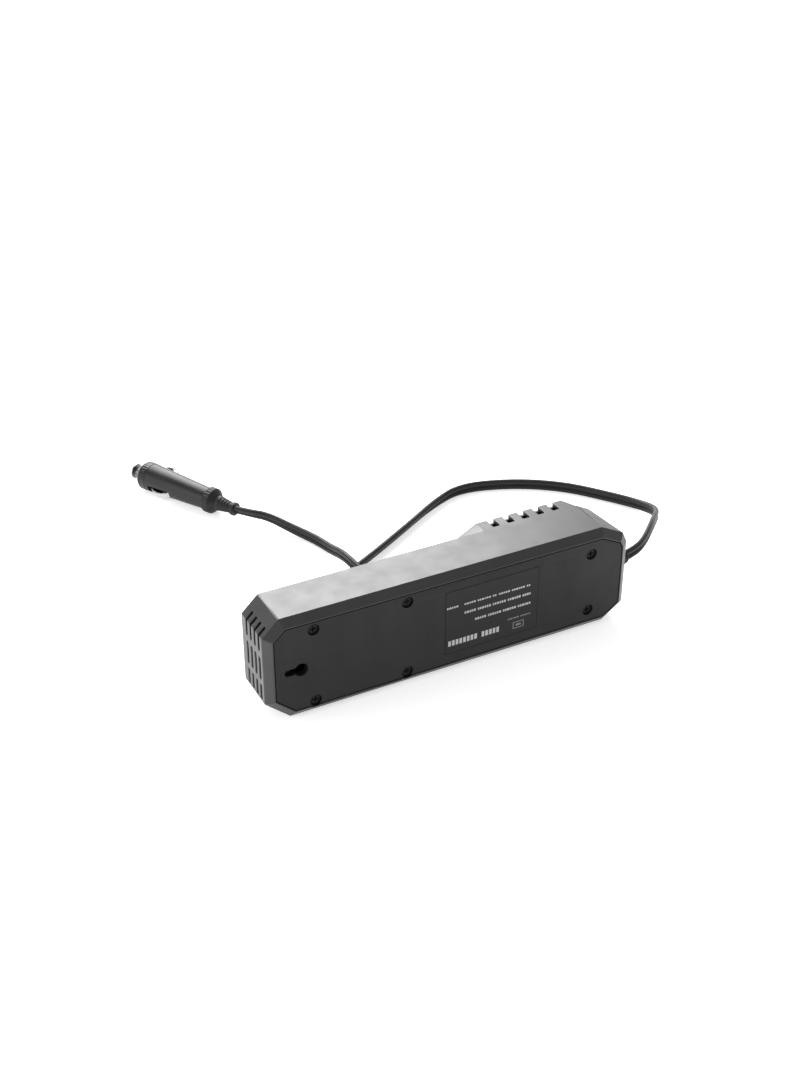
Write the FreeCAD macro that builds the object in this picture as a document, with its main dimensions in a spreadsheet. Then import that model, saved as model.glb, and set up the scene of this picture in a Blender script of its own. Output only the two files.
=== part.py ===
"""A 12 V car power inverter: a long faceted plastic housing, a supply cord and an accessory plug.

The inverter stands on its long side. +X runs along its length to the end where the cord leaves, +Y
points out of the front with the sockets, and +Z is up. The origin is under the middle of the housing.
All lengths are in millimetres.
"""
import FreeCAD
import Part
import Sketcher
import math
import os
import re

Vector = FreeCAD.Vector
Rotation = FreeCAD.Rotation

SIZES = {
    # housing: overall size, front level, walls
    "length": 232, "width": 66, "depth": 41, "front_depth": 31.5, "wall": 2.2,
    # corner facets, along the length and across it, named left or right and low or top
    "left_top_x": 10, "left_top_z": 9.6, "left_low_x": 14.5, "left_low_z": 12.9,
    "right_low_x": 13.7, "right_low_z": 9.4, "right_top_x": 18.3, "right_top_z": 14.5,
    "right_mid_x": 3, "right_mid_z": 7.9, "end_lean": 6.5,
    # bevelled rim around the open back, and the plate that closes it
    "bevel_drop": 3.8, "rim_inset": 4.7, "mouth_inset": 5.1, "mouth_deep": 4.4,
    "plate_inset": 5.75, "plate_thick": 2.2,
    # raised block over the outlet
    "ramp_start": 0, "block_start": 35, "block_end": 93, "block_foot": 97.6, "block_corner": 9,
    "block_inner_start": 37, "block_inner_end": 91.5, "ramp_inner_start": 9,
    # louvres through the raised block, and slots in the fan end
    "louvre_first": 44.4, "louvre_pitch": 10.1, "louvre_width": 4.4, "louvre_reach": 2.5,
    "louvre_sill": 12.4, "slot_first": -12.6, "slot_pitch": 5.5, "slot_width": 2.2, "slot_deep": 8.5,
    # plate screws
    "screw_left": -87.2, "screw_middle": -30.6, "screw_right": 89.2, "screw_low": 8.6,
    "screw_high": 55.6, "screw_right_low": 13.2, "screw_right_high": 52,
    "counterbore": 3.5, "cup_deep": 4.4, "cup_radius": 4.8, "cup_floor": 1.4, "screw_hole": 1.7,
    "boss_radius": 3.2, "pilot": 1.25, "head_radius": 2.9, "head_high": 1.8, "shank_radius": 1.25,
    "shank_long": 9, "recess_wide": 0.7, "recess_deep": 1.0,
    # keyhole for a wall screw
    "key_x": -95.2, "key_z": 31.9, "key_radius": 4, "key_slot_x": -103, "key_slot_radius": 2.1,
    # rating label on the plate
    "label_left": -6.5, "label_right": 53.5, "label_low": 12.5, "label_high": 54, "label_thick": 0.25,
    "label_sink": 0.3,
    # main circuit board and its posts
    "board_left": -70, "board_right": 98, "board_low": 17, "board_high": 48, "board_back": 7.1,
    "board_thick": 1.6, "post_left": -66.5, "post_right": 94.5, "post_low": 20.5, "post_high": 44.5,
    "post_radius": 2.4, "post_pilot": 0.95, "board_hole": 1.35, "board_head": 2.1, "board_shank": 0.95,
    "board_head_high": 1.4, "board_shank_long": 7,
    # power switch
    "switch_x": -82, "switch_z": 33, "switch_hole_x": 19, "switch_hole_z": 13, "bezel_x": 21.4,
    "bezel_z": 15.2, "bezel_high": 1.6, "switch_body_deep": 13, "switch_well_x": 17.2,
    "switch_well_z": 11.2, "switch_well_deep": 10.4, "rocker_half": 8, "rocker_z": 10.6,
    "rocker_pivot_y": 10.2, "rocker_tip": 2.5, "rocker_dip": 1.3, "rocker_tilt": -8,
    "rocker_foot": 2.6, "rocker_deep": 4, "pin_radius": 1, "pin_clear": 0.06, "pin_long": 12.4,
    "tab_x": 5.2, "tab_long": 6, "tab_wide": 4.8, "tab_thick": 0.8,
    # port panel with two type A ports and one type C port
    "panel_left": -59, "panel_right": -7, "panel_z": 33, "panel_wide": 22, "panel_thick": 1.4,
    "port_a_first": -47, "port_a_pitch": 18, "port_c_x": -14.5, "port_a_x": 13.2, "port_a_z": 5.8,
    "port_c_long": 9, "port_c_z": 3.3, "port_shell": 0.35, "port_deep": 14, "tongue_x": 11.4,
    "tongue_z": 1.9, "tongue_deep": 9, "tongue_shift": 1.2, "port_c_tongue_x": 6.6,
    "port_c_tongue_z": 0.8, "port_sink": 0.4, "port_gap": 0.3, "port_board_left": -57,
    "port_board_right": -8, "port_board_wide": 24, "port_board_thick": 1.2,
    # indicator light pipes
    "lens_x": -66.2, "lens_pitch": 9, "lens_radius": 1.5, "lens_flange": 2.2, "lens_long": 18,
    "lens_proud": 0.5, "led_wide": 3, "led_high": 1.6,
    # mains outlet in the raised block
    "outlet_x": 64.5, "outlet_z": 33, "outlet_size": 42, "outlet_corner": 9, "outlet_sink": 0.4,
    "outlet_gap": 0.25, "outlet_lip": 2, "outlet_lip_thick": 1.8, "pin_half_pitch": 9.6,
    "pin_row_z": 28.6, "pin_hole_x": 5, "pin_hole_z": 7.4, "pin_hole_round": 3, "earth_z": 43.4,
    "earth_x": 6, "earth_hole_z": 8, "carrier_x": 38, "carrier_z": 38, "carrier_deep": 14.4,
    "carrier_wall": 1.6, "shutter_x": 33, "shutter_z": 8.6, "shutter_thick": 1.6,
    "shutter_gap": 0.3, "leaf_thick": 0.8, "leaf_deep": 8.6, "leaf_wide": 6.4, "leaf_gap": 4.9,
    # cooling fan
    "fan_x": -110.6, "fan_y": -3.8, "fan_z": 33, "fan_size": 25, "fan_thick": 10, "fan_bore": 11.7,
    "hub_radius": 6, "hub_long": 7.2, "blade_root": 5.6, "blade_tip": 11.2, "blade_chord": 6.2,
    "blade_thick": 0.8, "blade_count": 7, "blade_pitch": 38, "motor_radius": 6.2, "motor_thick": 1.6,
    "strut_wide": 1.8, "fan_side_gap": 0.5, "rib_thick": 1.6, "rib_low": 16, "rib_high": 50,
    # transformer
    "core_x": 24, "core_z": 32.5, "core_long": 28, "core_deep": 19, "core_thick": 12,
    "core_limb": 6.5, "core_yoke": 5, "winding_thick": 14,
    # heatsinks with their transistors
    "sink_left": 8, "sink_right": 44, "sink_thick": 2, "sink_high": 18.5, "sink_top_z": 45.4,
    "sink_low_z": 17.3, "fet_wide": 10, "fet_thick": 4.2, "fet_high": 9, "fet_lift": 5, "fet_first": 14.5,
    "fet_pitch": 11.5, "fet_leg": 0.7, "fet_leg_pitch": 2.54, "clip_radius": 1.4, "clip_proud": 0.8,
    "fin_count": 6, "fin_thick": 1, "fin_proud": 1.6,
    # board components
    "bulk_x": 0.5, "bulk_low": 25, "bulk_high": 40, "bulk_radius": 6.2, "bulk_tall": 19,
    "bus_left": 62, "bus_long": 21, "bus_z": 42.2, "bus_radius": 5, "choke_x": 51, "choke_z": 25.5,
    "choke_outer": 6.6, "choke_inner": 3.2, "choke_high": 5, "choke_turns": 12, "choke_wire": 0.6,
    "fuse_left": 66, "fuse_long": 20, "fuse_z": 22, "fuse_radius": 2.6,
    "clip_wall": 0.5, "buzzer_x": -50, "buzzer_z": 40, "buzzer_radius": 4.5, "buzzer_high": 5.5,
    "buzzer_port": 1, "film_x": 85.5, "film_z": 31.5, "film_long": 12, "film_wide": 6, "film_high": 9.5,
    "chip_long": 19.4, "chip_wide": 6.4, "chip_high": 3.4, "chip_z": 33, "chip_one_x": -28,
    "chip_two_x": 67.5, "chip_leg": 0.5, "chip_leg_pitch": 2.54, "chip_legs": 7, "chip_leg_out": 0.8,
    # cord, and the relief that holds it in the end wall
    "cord_width": 7.4, "relief_x": 113.72, "relief_y": -7, "relief_z": 31.5, "relief_turn": 13.2,
    "relief_inside": 4.8, "relief_long": 10.6, "relief_flange": 6, "relief_neck": 4.2,
    "relief_root": 5.6, "relief_tip": 4.1, "relief_hole": 4.9, "flange_thick": 2,
    # accessory plug, measured along its axis from the cord's end
    "plug_x": -48.4, "plug_y": 189.5, "plug_axis_z": 8.53, "plug_heading": 118.4, "plug_pitch": 0.95,
    "plug_roll": 58, "ring_long": 2.6, "ring_radius": 4.5, "tail_end": 14.5, "tail_small": 3.6,
    "tail_large": 5.2, "cone_end": 17.6, "collar_small": 7.9, "collar_radius": 8.7, "collar_end": 23.6,
    "body_end": 72, "body_small": 7.4, "body_large": 9.6, "body_wall": 1.8, "neck_radius": 8,
    "neck_end": 76, "nose_end": 79.2, "nose_radius": 9.7, "nose_front": 8.6, "nose_wall": 1.5,
    "tip_radius": 5.2, "tip_start": 86.4, "tip_end": 89.4, "stem_radius": 2.6, "stem_hole": 2.68,
    "stem_start": 72.8, "stem_flange": 3.8, "stem_flange_end": 77.4, "plug_fuse_start": 37,
    "plug_fuse_end": 67, "plug_fuse_radius": 3.1, "coil_radius": 2.3,
    "coil_wire": 0.35, "coil_pitch": 0.8, "coil_turns": 3, "slot_start": 51, "slot_end": 69.4,
    "plug_slot_wide": 8, "leaf_foot": 43, "leaf_foot_radius": 5.6, "leaf_start": 53.4,
    "leaf_end": 67.6, "leaf_edge_radius": 8.2, "leaf_bulge": 10.8, "contact_thick": 0.8,
    "contact_wide": 5,
}

# Levels that follow from the driving sizes, as formulas of the sheet's names.
BACK = "(-depth/2)"
FRONT = "(front_depth - depth/2)"
CREST = "(depth/2)"
INNER = "(front_depth - depth/2 - wall)"
BOARD = "(board_back + board_thick - depth/2)"
LEFT = "(-length/2)"
RIGHT = "(length/2)"

doc = FreeCAD.newDocument("power_inverter")
sheet = doc.addObject("Spreadsheet::Sheet", "Sizes")
for row, (alias, value) in enumerate(SIZES.items(), 1):
    sheet.set(f"A{row}", alias)
    sheet.set(f"B{row}", str(value))
    sheet.setAlias(f"B{row}", alias)
doc.recompute()

ALIAS = re.compile(r"\b(" + "|".join(SIZES) + r")\b")
nodes = {}


def formula(text):
    """The text with each of the sheet's names written as the sheet's cell."""
    return ALIAS.sub(r"Sizes.\1", str(text))


def drive(thing, prop, text):
    thing.setExpression(prop, formula(text))


def keep(thing, label):
    """Names a finished sub-part, which is then written to its own file."""
    thing.Label = label
    nodes[label] = thing
    return thing


# ---------------------------------------------------------------- primitives

def place(thing, at, turn=None):
    if turn:
        thing.Placement = FreeCAD.Placement(Vector(), Rotation(Vector(*turn[0]), turn[1]))
    for axis, text in zip("xyz", at):
        drive(thing, f"Placement.Base.{axis}", text)
    return thing


def box(low, size):
    """A block from its lowest corner and its three sizes."""
    b = doc.addObject("Part::Box", "block")
    for prop, text in zip(("Length", "Width", "Height"), size):
        drive(b, prop, text)
    return place(b, low)


def block(x, y, z):
    """A block from its two limits along each axis."""
    return box((x[0], y[0], z[0]), [f"({b}) - ({a})" for a, b in (x, y, z)])


TURNS = {"x": ((0, 1, 0), 90), "y": ((1, 0, 0), -90), "z": None}


def rod(axis, start, radius, long):
    """A cylinder that runs from start along +axis."""
    c = doc.addObject("Part::Cylinder", "rod")
    drive(c, "Radius", radius)
    drive(c, "Height", long)
    return place(c, start, TURNS[axis])


def cone(axis, start, first, last, long):
    c = doc.addObject("Part::Cone", "cone")
    drive(c, "Radius1", first)
    drive(c, "Radius2", last)
    drive(c, "Height", long)
    return place(c, start, TURNS[axis])


def fuse(*shapes):
    if len(shapes) == 1:
        return shapes[0]
    f = doc.addObject("Part::MultiFuse", "joined")
    f.Shapes = list(shapes)
    return f


def cut(base, *tools):
    c = doc.addObject("Part::Cut", "cut")
    c.Base = base
    c.Tool = fuse(*tools)
    return c


def group(*shapes):
    """Separate solids that share one node."""
    g = doc.addObject("Part::Compound", "group")
    g.Links = list(shapes)
    return g


# ---------------------------------------------------------------- sketches and features

def new_body(label):
    b = doc.addObject("PartDesign::Body", label)
    return keep(b, label)


def sketch(body, plane, offset, name):
    s = body.newObject("Sketcher::SketchObject", name)
    origin_plane = next(o for o in body.Origin.OriginFeatures if o.Role == plane)
    s.AttachmentSupport = [(origin_plane, "")]
    s.MapMode = "FlatFace"
    drive(s, "AttachmentOffset.Base.z", offset)
    return s


def pin_point(s, edge, end, x, y):
    """Ties a point of the sketch to a place worked out from the sheet."""
    for kind, text in (("DistanceX", x), ("DistanceY", y)):
        number = s.addConstraint(Sketcher.Constraint(kind, -1, 1, edge, end, 1.0))
        drive(s, f"Constraints[{number}]", text)


def polygon(s, points):
    first, count, spread = s.GeometryCount, len(points), 40
    turn = 2 * math.pi / count
    start = [Vector(spread * math.cos(turn * i), spread * math.sin(turn * i), 0) for i in range(count)]
    for i in range(count):
        s.addGeometry(Part.LineSegment(start[i], start[(i + 1) % count]), False)
    for i in range(count):
        s.addConstraint(Sketcher.Constraint("Coincident", first + i, 2, first + (i + 1) % count, 1))
    for i, (x, y) in enumerate(points):
        pin_point(s, first + i, 1, x, y)


def rectangle(s, x, y):
    polygon(s, [(x[0], y[0]), (x[1], y[0]), (x[1], y[1]), (x[0], y[1])])


def circle(s, x, y, radius):
    edge = s.addGeometry(Part.Circle(Vector(0, 0, 0), Vector(0, 0, 1), 2.0), False)
    number = s.addConstraint(Sketcher.Constraint("Radius", edge, 2.0))
    drive(s, f"Constraints[{number}]", radius)
    pin_point(s, edge, 3, x, y)


def pad(body, profile, length, reverse=False):
    p = body.newObject("PartDesign::Pad", profile.Name + "_pad")
    p.Profile = profile
    drive(p, "Length", length)
    p.Reversed = reverse
    return p


pockets = []


def pocket(body, profile, length, reverse=False):
    """Cuts a sketch into the body. Its volume is compared with the one before at the end."""
    before = body.Tip
    p = body.newObject("PartDesign::Pocket", profile.Name + "_cut")
    p.Profile = profile
    drive(p, "Length", length)
    p.Reversed = reverse
    pockets.append((before, p))
    return p


def loft(body, kind, first, last):
    before = body.Tip
    feature = body.newObject("PartDesign::" + kind, first.Name + "_loft")
    feature.Profile = first
    feature.Sections = [last]
    feature.Ruled = True
    if kind == "SubtractiveLoft":
        pockets.append((before, feature))
    return feature


def revolve(body, profile, angle=360):
    r = body.newObject("PartDesign::Revolution", profile.Name + "_turned")
    r.Profile = profile
    r.ReferenceAxis = (profile, ["H_Axis"])
    r.Angle = angle
    return r


# ---------------------------------------------------------------- housing

def facet_inset(rise, run, inset):
    """How far a corner of the outline moves along its straight side when the outline shrinks."""
    return f"({inset})*tan(atan({rise}/{run})/2)"


def outline(inset, lean="0"):
    """The faceted outline, shrunk by inset, its right end moved in by lean as it is at the front."""
    angle_one = "atan(right_mid_z/(right_top_x - right_mid_x))"
    angle_two = "atan((right_top_z - right_mid_z)/right_mid_x)"
    middle, half = f"(90 deg - ({angle_one} + {angle_two})/2)", f"(({angle_two} - {angle_one})/2)"
    rise = f"({lean})*tan({angle_one})"
    return [
        (f"{LEFT} + left_low_x + {facet_inset('left_low_z', 'left_low_x', inset)}", inset),
        (f"{RIGHT} - right_low_x - {facet_inset('right_low_z', 'right_low_x', inset)}", inset),
        (f"{RIGHT} - {inset} - {lean}",
         f"right_low_z + {facet_inset('right_low_x', 'right_low_z', inset)}"
         f" - ({lean})*right_low_z/right_low_x"),
        (f"{RIGHT} - {inset} - {lean}",
         f"width - right_top_z - ({inset})*tan((90 deg - {angle_two})/2) + {rise}"),
        (f"{RIGHT} - right_mid_x - {lean} - ({inset})*cos({middle})/cos({half})",
         f"width - right_mid_z + {rise} - ({inset})*sin({middle})/cos({half})"),
        (f"{RIGHT} - right_top_x - ({inset})*tan({angle_one}/2)", f"width - {inset}"),
        (f"{LEFT} + left_top_x + {facet_inset('left_top_z', 'left_top_x', inset)}", f"width - {inset}"),
        (f"{LEFT} + {inset}", f"width - left_top_z - {facet_inset('left_top_x', 'left_top_z', inset)}"),
        (f"{LEFT} + {inset}", f"left_low_z + {facet_inset('left_low_x', 'left_low_z', inset)}"),
    ]


def level(body, y, points, name):
    """A sketch parallel to the front, at height y; its plane faces -Y."""
    s = sketch(body, "XZ_Plane", f"-({y})", name)
    polygon(s, points)
    return s


PLATE_SCREWS = [("screw_left", "screw_low"), ("screw_middle", "screw_low"),
                ("screw_right", "screw_right_low"), ("screw_left", "screw_high"),
                ("screw_middle", "screw_high"), ("screw_right", "screw_right_high")]
BOARD_POSTS = [(x, z) for x in ("post_left", "post_right") for z in ("post_low", "post_high")]
OUTLET_HALF = "outlet_size/2"


def octagon(half, corner, x="outlet_x", z="outlet_z"):
    """A square with cut corners."""
    inner = f"({half} - {corner})"
    steps = [(f"-{inner}", f"-({half})"), (inner, f"-({half})"), (half, f"-{inner}"), (half, inner),
             (inner, half), (f"-{inner}", half), (f"-({half})", inner), (f"-({half})", f"-{inner}")]
    return [(f"{x} + {a}", f"{z} + {b}") for a, b in steps]


def housing():
    b = new_body("housing")
    rim = level(b, BACK, outline("rim_inset"), "rim")
    knee = level(b, f"{BACK} + bevel_drop", outline("0"), "knee")
    loft(b, "AdditiveLoft", rim, knee)
    knee_again = level(b, f"{BACK} + bevel_drop", outline("0"), "knee_again")
    front = level(b, FRONT, outline("0", "end_lean"), "front")
    loft(b, "AdditiveLoft", knee_again, front)

    profile = sketch(b, "XY_Plane", "0", "block_profile")
    polygon(profile, [("ramp_start", FRONT), ("block_foot", FRONT), ("block_end", CREST),
                      ("block_start", CREST)])
    pad(b, profile, "width")
    corners = sketch(b, "XZ_Plane", f"-{FRONT}", "block_corners")
    for edge, inside, outside in (("0", "block_corner", "-2"), ("width", "width - block_corner", "width + 2")):
        polygon(corners, [("ramp_start - 2", inside), ("ramp_start", inside), ("block_start", edge),
                          ("block_start", outside), ("ramp_start - 2", outside)])
    pocket(b, corners, "depth")

    mouth = level(b, BACK, outline("mouth_inset"), "mouth")
    pocket(b, mouth, "mouth_deep")
    low = level(b, f"{BACK} + mouth_deep", outline("wall + 0.4"), "hollow_low")
    high = level(b, INNER, outline("wall", "end_lean"), "hollow_high")
    loft(b, "SubtractiveLoft", low, high)
    wide = sketch(b, "XY_Plane", "wall", "block_hollow")
    polygon(wide, [("block_inner_start", f"{INNER} - 1"), ("block_inner_end", f"{INNER} - 1"),
                   ("block_inner_end", f"{CREST} - wall"), ("block_inner_start", f"{CREST} - wall")])
    pocket(b, wide, "width - 2*wall", reverse=True)
    narrow = sketch(b, "XY_Plane", "block_corner + wall", "ramp_hollow")
    polygon(narrow, [("ramp_inner_start", f"{INNER} - 1"), ("block_inner_start + 1", f"{INNER} - 1"),
                     ("block_inner_start + 1", f"{CREST} - wall"), ("block_start", f"{CREST} - wall")])
    pocket(b, narrow, "width - 2*block_corner - 2*wall", reverse=True)

    bosses = sketch(b, "XZ_Plane", f"-({INNER} + 0.2)", "bosses")
    for x, z in PLATE_SCREWS[:2] + PLATE_SCREWS[3:5]:
        circle(bosses, x, z, "boss_radius")
    pad(b, bosses, f"{INNER} + 0.2 - ({BACK}) - cup_deep")
    tall_bosses = sketch(b, "XZ_Plane", f"-({CREST} - wall + 0.2)", "tall_bosses")
    for x, z in (PLATE_SCREWS[2], PLATE_SCREWS[5]):
        circle(tall_bosses, x, z, "boss_radius")
    pad(b, tall_bosses, f"{CREST} - wall + 0.2 - ({BACK}) - cup_deep")
    posts = sketch(b, "XZ_Plane", f"-({INNER} + 0.2)", "posts")
    for x, z in BOARD_POSTS:
        circle(posts, x, z, "post_radius")
    pad(b, posts, f"{INNER} + 0.2 - {BOARD}")
    ribs = sketch(b, "XZ_Plane", f"-({INNER} + 0.2)", "fan_ribs")
    for low_z, high_z in (("rib_low", "rib_low + 8"), ("rib_high - 8", "rib_high")):
        start = "fan_x + fan_thick + fan_side_gap"
        rectangle(ribs, (start, f"{start} + rib_thick"), (low_z, high_z))
    pad(b, ribs, f"{INNER} - ({BACK}) - 6")

    pilots = sketch(b, "XZ_Plane", f"-({BACK} + cup_deep)", "pilots")
    for x, z in PLATE_SCREWS:
        circle(pilots, x, z, "pilot")
    pocket(b, pilots, "shank_long + 1")
    post_pilots = sketch(b, "XZ_Plane", f"-{BOARD}", "post_pilots")
    for x, z in BOARD_POSTS:
        circle(post_pilots, x, z, "post_pilot")
    pocket(b, post_pilots, "board_shank_long")
    notches = sketch(b, "XZ_Plane", f"-{BACK}", "rim_notches")
    for x, z in PLATE_SCREWS[:2]:
        circle(notches, x, z, "cup_radius + 0.2")
    pocket(b, notches, "cup_deep - 0.1")

    sill = sketch(b, "XZ_Plane", "-louvre_sill", "louvres")
    for i in range(5):
        middle = f"louvre_first + louvre_pitch*{i}"
        span = (f"{middle} - louvre_width/2", f"{middle} + louvre_width/2")
        rectangle(sill, span, ("width - louvre_reach", "width + 1"))
        rectangle(sill, span, ("-1", "louvre_reach"))
    pocket(b, sill, "depth")

    slots = sketch(b, "YZ_Plane", f"{LEFT} - 1", "fan_slots")
    for i in range(4):
        middle = f"slot_first + slot_pitch*{i}"
        span = (f"{middle} - slot_width/2", f"{middle} + slot_width/2")
        for low_z, high_z in (("14.5", "24"), ("28", "42.2"), ("46.6", "60.2")):
            rectangle(slots, span, (low_z, high_z))
    pocket(b, slots, "slot_deep", reverse=True)

    opening = level(b, f"{CREST} - wall - 1", octagon(OUTLET_HALF, "outlet_corner"), "outlet_hole")
    pocket(b, opening, "depth")
    front_holes = sketch(b, "XZ_Plane", f"-({INNER} - 1)", "front_holes")
    rectangle(front_holes, ("switch_x - switch_hole_x/2", "switch_x + switch_hole_x/2"),
              ("switch_z - switch_hole_z/2", "switch_z + switch_hole_z/2"))
    for x, half_x, half_z in (("port_a_first", "port_a_x/2", "port_a_z/2"),
                              ("port_a_first + port_a_pitch", "port_a_x/2", "port_a_z/2"),
                              ("port_c_x", "port_c_long/2", "port_c_z/2")):
        rectangle(front_holes, (f"{x} - {half_x} - port_gap", f"{x} + {half_x} + port_gap"),
                  (f"panel_z - {half_z} - port_gap", f"panel_z + {half_z} + port_gap"))
    for side in (-1, 1):
        circle(front_holes, "lens_x", f"panel_z + lens_pitch/2*{side}", "lens_radius + 0.05")
    pocket(b, front_holes, "depth")
    panel_seat = sketch(b, "XZ_Plane", f"-({FRONT} - panel_thick)", "panel_seat")
    rectangle(panel_seat, ("panel_left - 0.2", "panel_right + 0.2"),
              ("panel_z - panel_wide/2 - 0.2", "panel_z + panel_wide/2 + 0.2"))
    pocket(b, panel_seat, "depth")
    relief_hole = sketch(b, "YZ_Plane", f"{RIGHT} + 1", "relief_hole")
    circle(relief_hole, "relief_y", "relief_z", "relief_hole")
    pocket(b, relief_hole, "end_lean + 4", reverse=False)


def base_plate():
    b = new_body("base_plate")
    plate = level(b, BACK, outline("plate_inset"), "plate")
    pad(b, plate, "plate_thick", reverse=True)
    cups = sketch(b, "XZ_Plane", f"-({BACK} + plate_thick - 0.1)", "cups")
    for x, z in PLATE_SCREWS:
        circle(cups, x, z, "cup_radius")
    circle(cups, "key_x", "key_z", "key_radius + 1.6")
    pad(b, cups, "cup_deep - plate_thick", reverse=True)
    seats = sketch(b, "XZ_Plane", f"-{BACK}", "screw_seats")
    for x, z in PLATE_SCREWS:
        circle(seats, x, z, "counterbore")
    pocket(b, seats, "cup_deep - cup_floor")
    holes = sketch(b, "XZ_Plane", f"-{BACK}", "screw_holes")
    for x, z in PLATE_SCREWS:
        circle(holes, x, z, "screw_hole")
    pocket(b, holes, "depth")
    key = sketch(b, "XZ_Plane", f"-{BACK}", "keyhole")
    circle(key, "key_x", "key_z", "key_radius")
    pocket(b, key, "depth")
    slot = sketch(b, "XZ_Plane", f"-{BACK}", "key_slot")
    rectangle(slot, ("key_slot_x", "key_x"), ("key_z - key_slot_radius", "key_z + key_slot_radius"))
    pocket(b, slot, "depth")
    slot_end = sketch(b, "XZ_Plane", f"-{BACK}", "key_slot_end")
    circle(slot_end, "key_slot_x", "key_z", "key_slot_radius")
    pocket(b, slot_end, "depth")
    seat = sketch(b, "XZ_Plane", f"-{BACK}", "label_seat")
    rectangle(seat, ("label_left - 0.3", "label_right + 0.3"), ("label_low - 0.3", "label_high + 0.3"))
    pocket(b, seat, "label_sink")
    trim = sketch(b, "XZ_Plane", f"-{BACK}", "cup_trim")
    for x, z in PLATE_SCREWS[:2]:
        rectangle(trim, (f"{x} - 7", f"{x} + 7"), ("0", "plate_inset"))
    pocket(b, trim, "depth")


def screw(x, z, head_y, head, high, shank, long):
    """A pan-head screw driven along +Y, with a cross recess in its head."""
    top = rod("y", (x, head_y, z), head, high)
    stem = rod("y", (x, f"{head_y} + {high} - 0.1", z), shank, f"{long} + 0.1")
    wide, deep = "recess_wide/2", (f"{head_y} - 1", f"{head_y} + recess_deep")
    long_half = f"{head}*0.62"
    cross = [block((f"{x} - {a}", f"{x} + {a}"), deep, (f"{z} - {c}", f"{z} + {c}"))
             for a, c in ((long_half, wide), (wide, long_half))]
    return cut(fuse(top, stem), *cross)


def fasteners():
    seat = f"{BACK} + cup_deep - cup_floor - head_high"
    keep(group(*[screw(x, z, seat, "head_radius", "head_high", "shank_radius", "shank_long")
                 for x, z in PLATE_SCREWS]), "base_screws")
    head_y = f"{BACK} + board_back - board_head_high"
    keep(group(*[screw(x, z, head_y, "board_head", "board_head_high", "board_shank",
                       "board_thick + board_shank_long - 1") for x, z in BOARD_POSTS]), "board_screws")


def label():
    keep(block(("label_left", "label_right"), (f"{BACK} + label_sink - label_thick", f"{BACK} + label_sink"),
               ("label_low", "label_high")), "rating_label")


# ---------------------------------------------------------------- power switch

def power_switch():
    half_x, half_z = "switch_hole_x/2 - 0.2", "switch_hole_z/2 - 0.2"
    bezel = block(("switch_x - bezel_x/2", "switch_x + bezel_x/2"), (FRONT, f"{FRONT} + bezel_high"),
                  ("switch_z - bezel_z/2", "switch_z + bezel_z/2"))
    shell = block((f"switch_x - ({half_x})", f"switch_x + {half_x}"),
                  (f"{FRONT} - switch_body_deep", f"{FRONT} + 0.1"),
                  (f"switch_z - ({half_z})", f"switch_z + {half_z}"))
    well = block(("switch_x - switch_well_x/2", "switch_x + switch_well_x/2"),
                 (f"{FRONT} - switch_well_deep", f"{FRONT} + 3"),
                 ("switch_z - switch_well_z/2", "switch_z + switch_well_z/2"))
    bore = rod("z", ("switch_x", "rocker_pivot_y", "switch_z - pin_long/2 - 0.1"),
               "pin_radius + pin_clear", "pin_long + 0.2")
    keep(cut(fuse(bezel, shell), well, bore), "switch_housing")

    b = new_body("switch_rocker")
    s = sketch(b, "XY_Plane", "-rocker_z/2", "rocker_side")
    polygon(s, [("-rocker_half", "-0.4"), ("-rocker_foot", "-rocker_deep"), ("rocker_foot", "-rocker_deep"),
                ("rocker_half", "-0.4"), ("rocker_half", "rocker_tip"), ("0", "rocker_dip"),
                ("-rocker_half", "rocker_tip")])
    pad(b, s, "rocker_z")
    pins = sketch(b, "XY_Plane", "-pin_long/2", "rocker_pins")
    circle(pins, "0", "0", "pin_radius")
    pad(b, pins, "pin_long")
    b.Placement = FreeCAD.Placement(Vector(), Rotation(Vector(0, 0, 1), SIZES["rocker_tilt"]))
    place(b, ("switch_x", "rocker_pivot_y", "switch_z"))

    tabs = [block((f"switch_x + tab_x*{i} - tab_thick/2", f"switch_x + tab_x*{i} + tab_thick/2"),
                  (f"{FRONT} - switch_body_deep - tab_long", f"{FRONT} - switch_body_deep"),
                  ("switch_z - tab_wide/2", "switch_z + tab_wide/2")) for i in (-1, 0, 1)]
    keep(group(*tabs), "switch_terminals")


# ---------------------------------------------------------------- charging ports

PORTS = [("port_a_first", "port_a_x", "port_a_z"), ("port_a_first + port_a_pitch", "port_a_x", "port_a_z")]


def tube_box(x, long_x, long_z, front, deep):
    """A rectangular metal sleeve around (x, panel_z) that opens to the front."""
    outer = block((f"{x} - {long_x}/2", f"{x} + {long_x}/2"), (f"{front} - {deep}", front),
                  (f"panel_z - {long_z}/2", f"panel_z + {long_z}/2"))
    inner = block((f"{x} - {long_x}/2 + port_shell", f"{x} + {long_x}/2 - port_shell"),
                  (f"{front} - {deep} + port_shell", f"{front} + 1"),
                  (f"panel_z - {long_z}/2 + port_shell", f"panel_z + {long_z}/2 - port_shell"))
    return cut(outer, inner)


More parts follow.
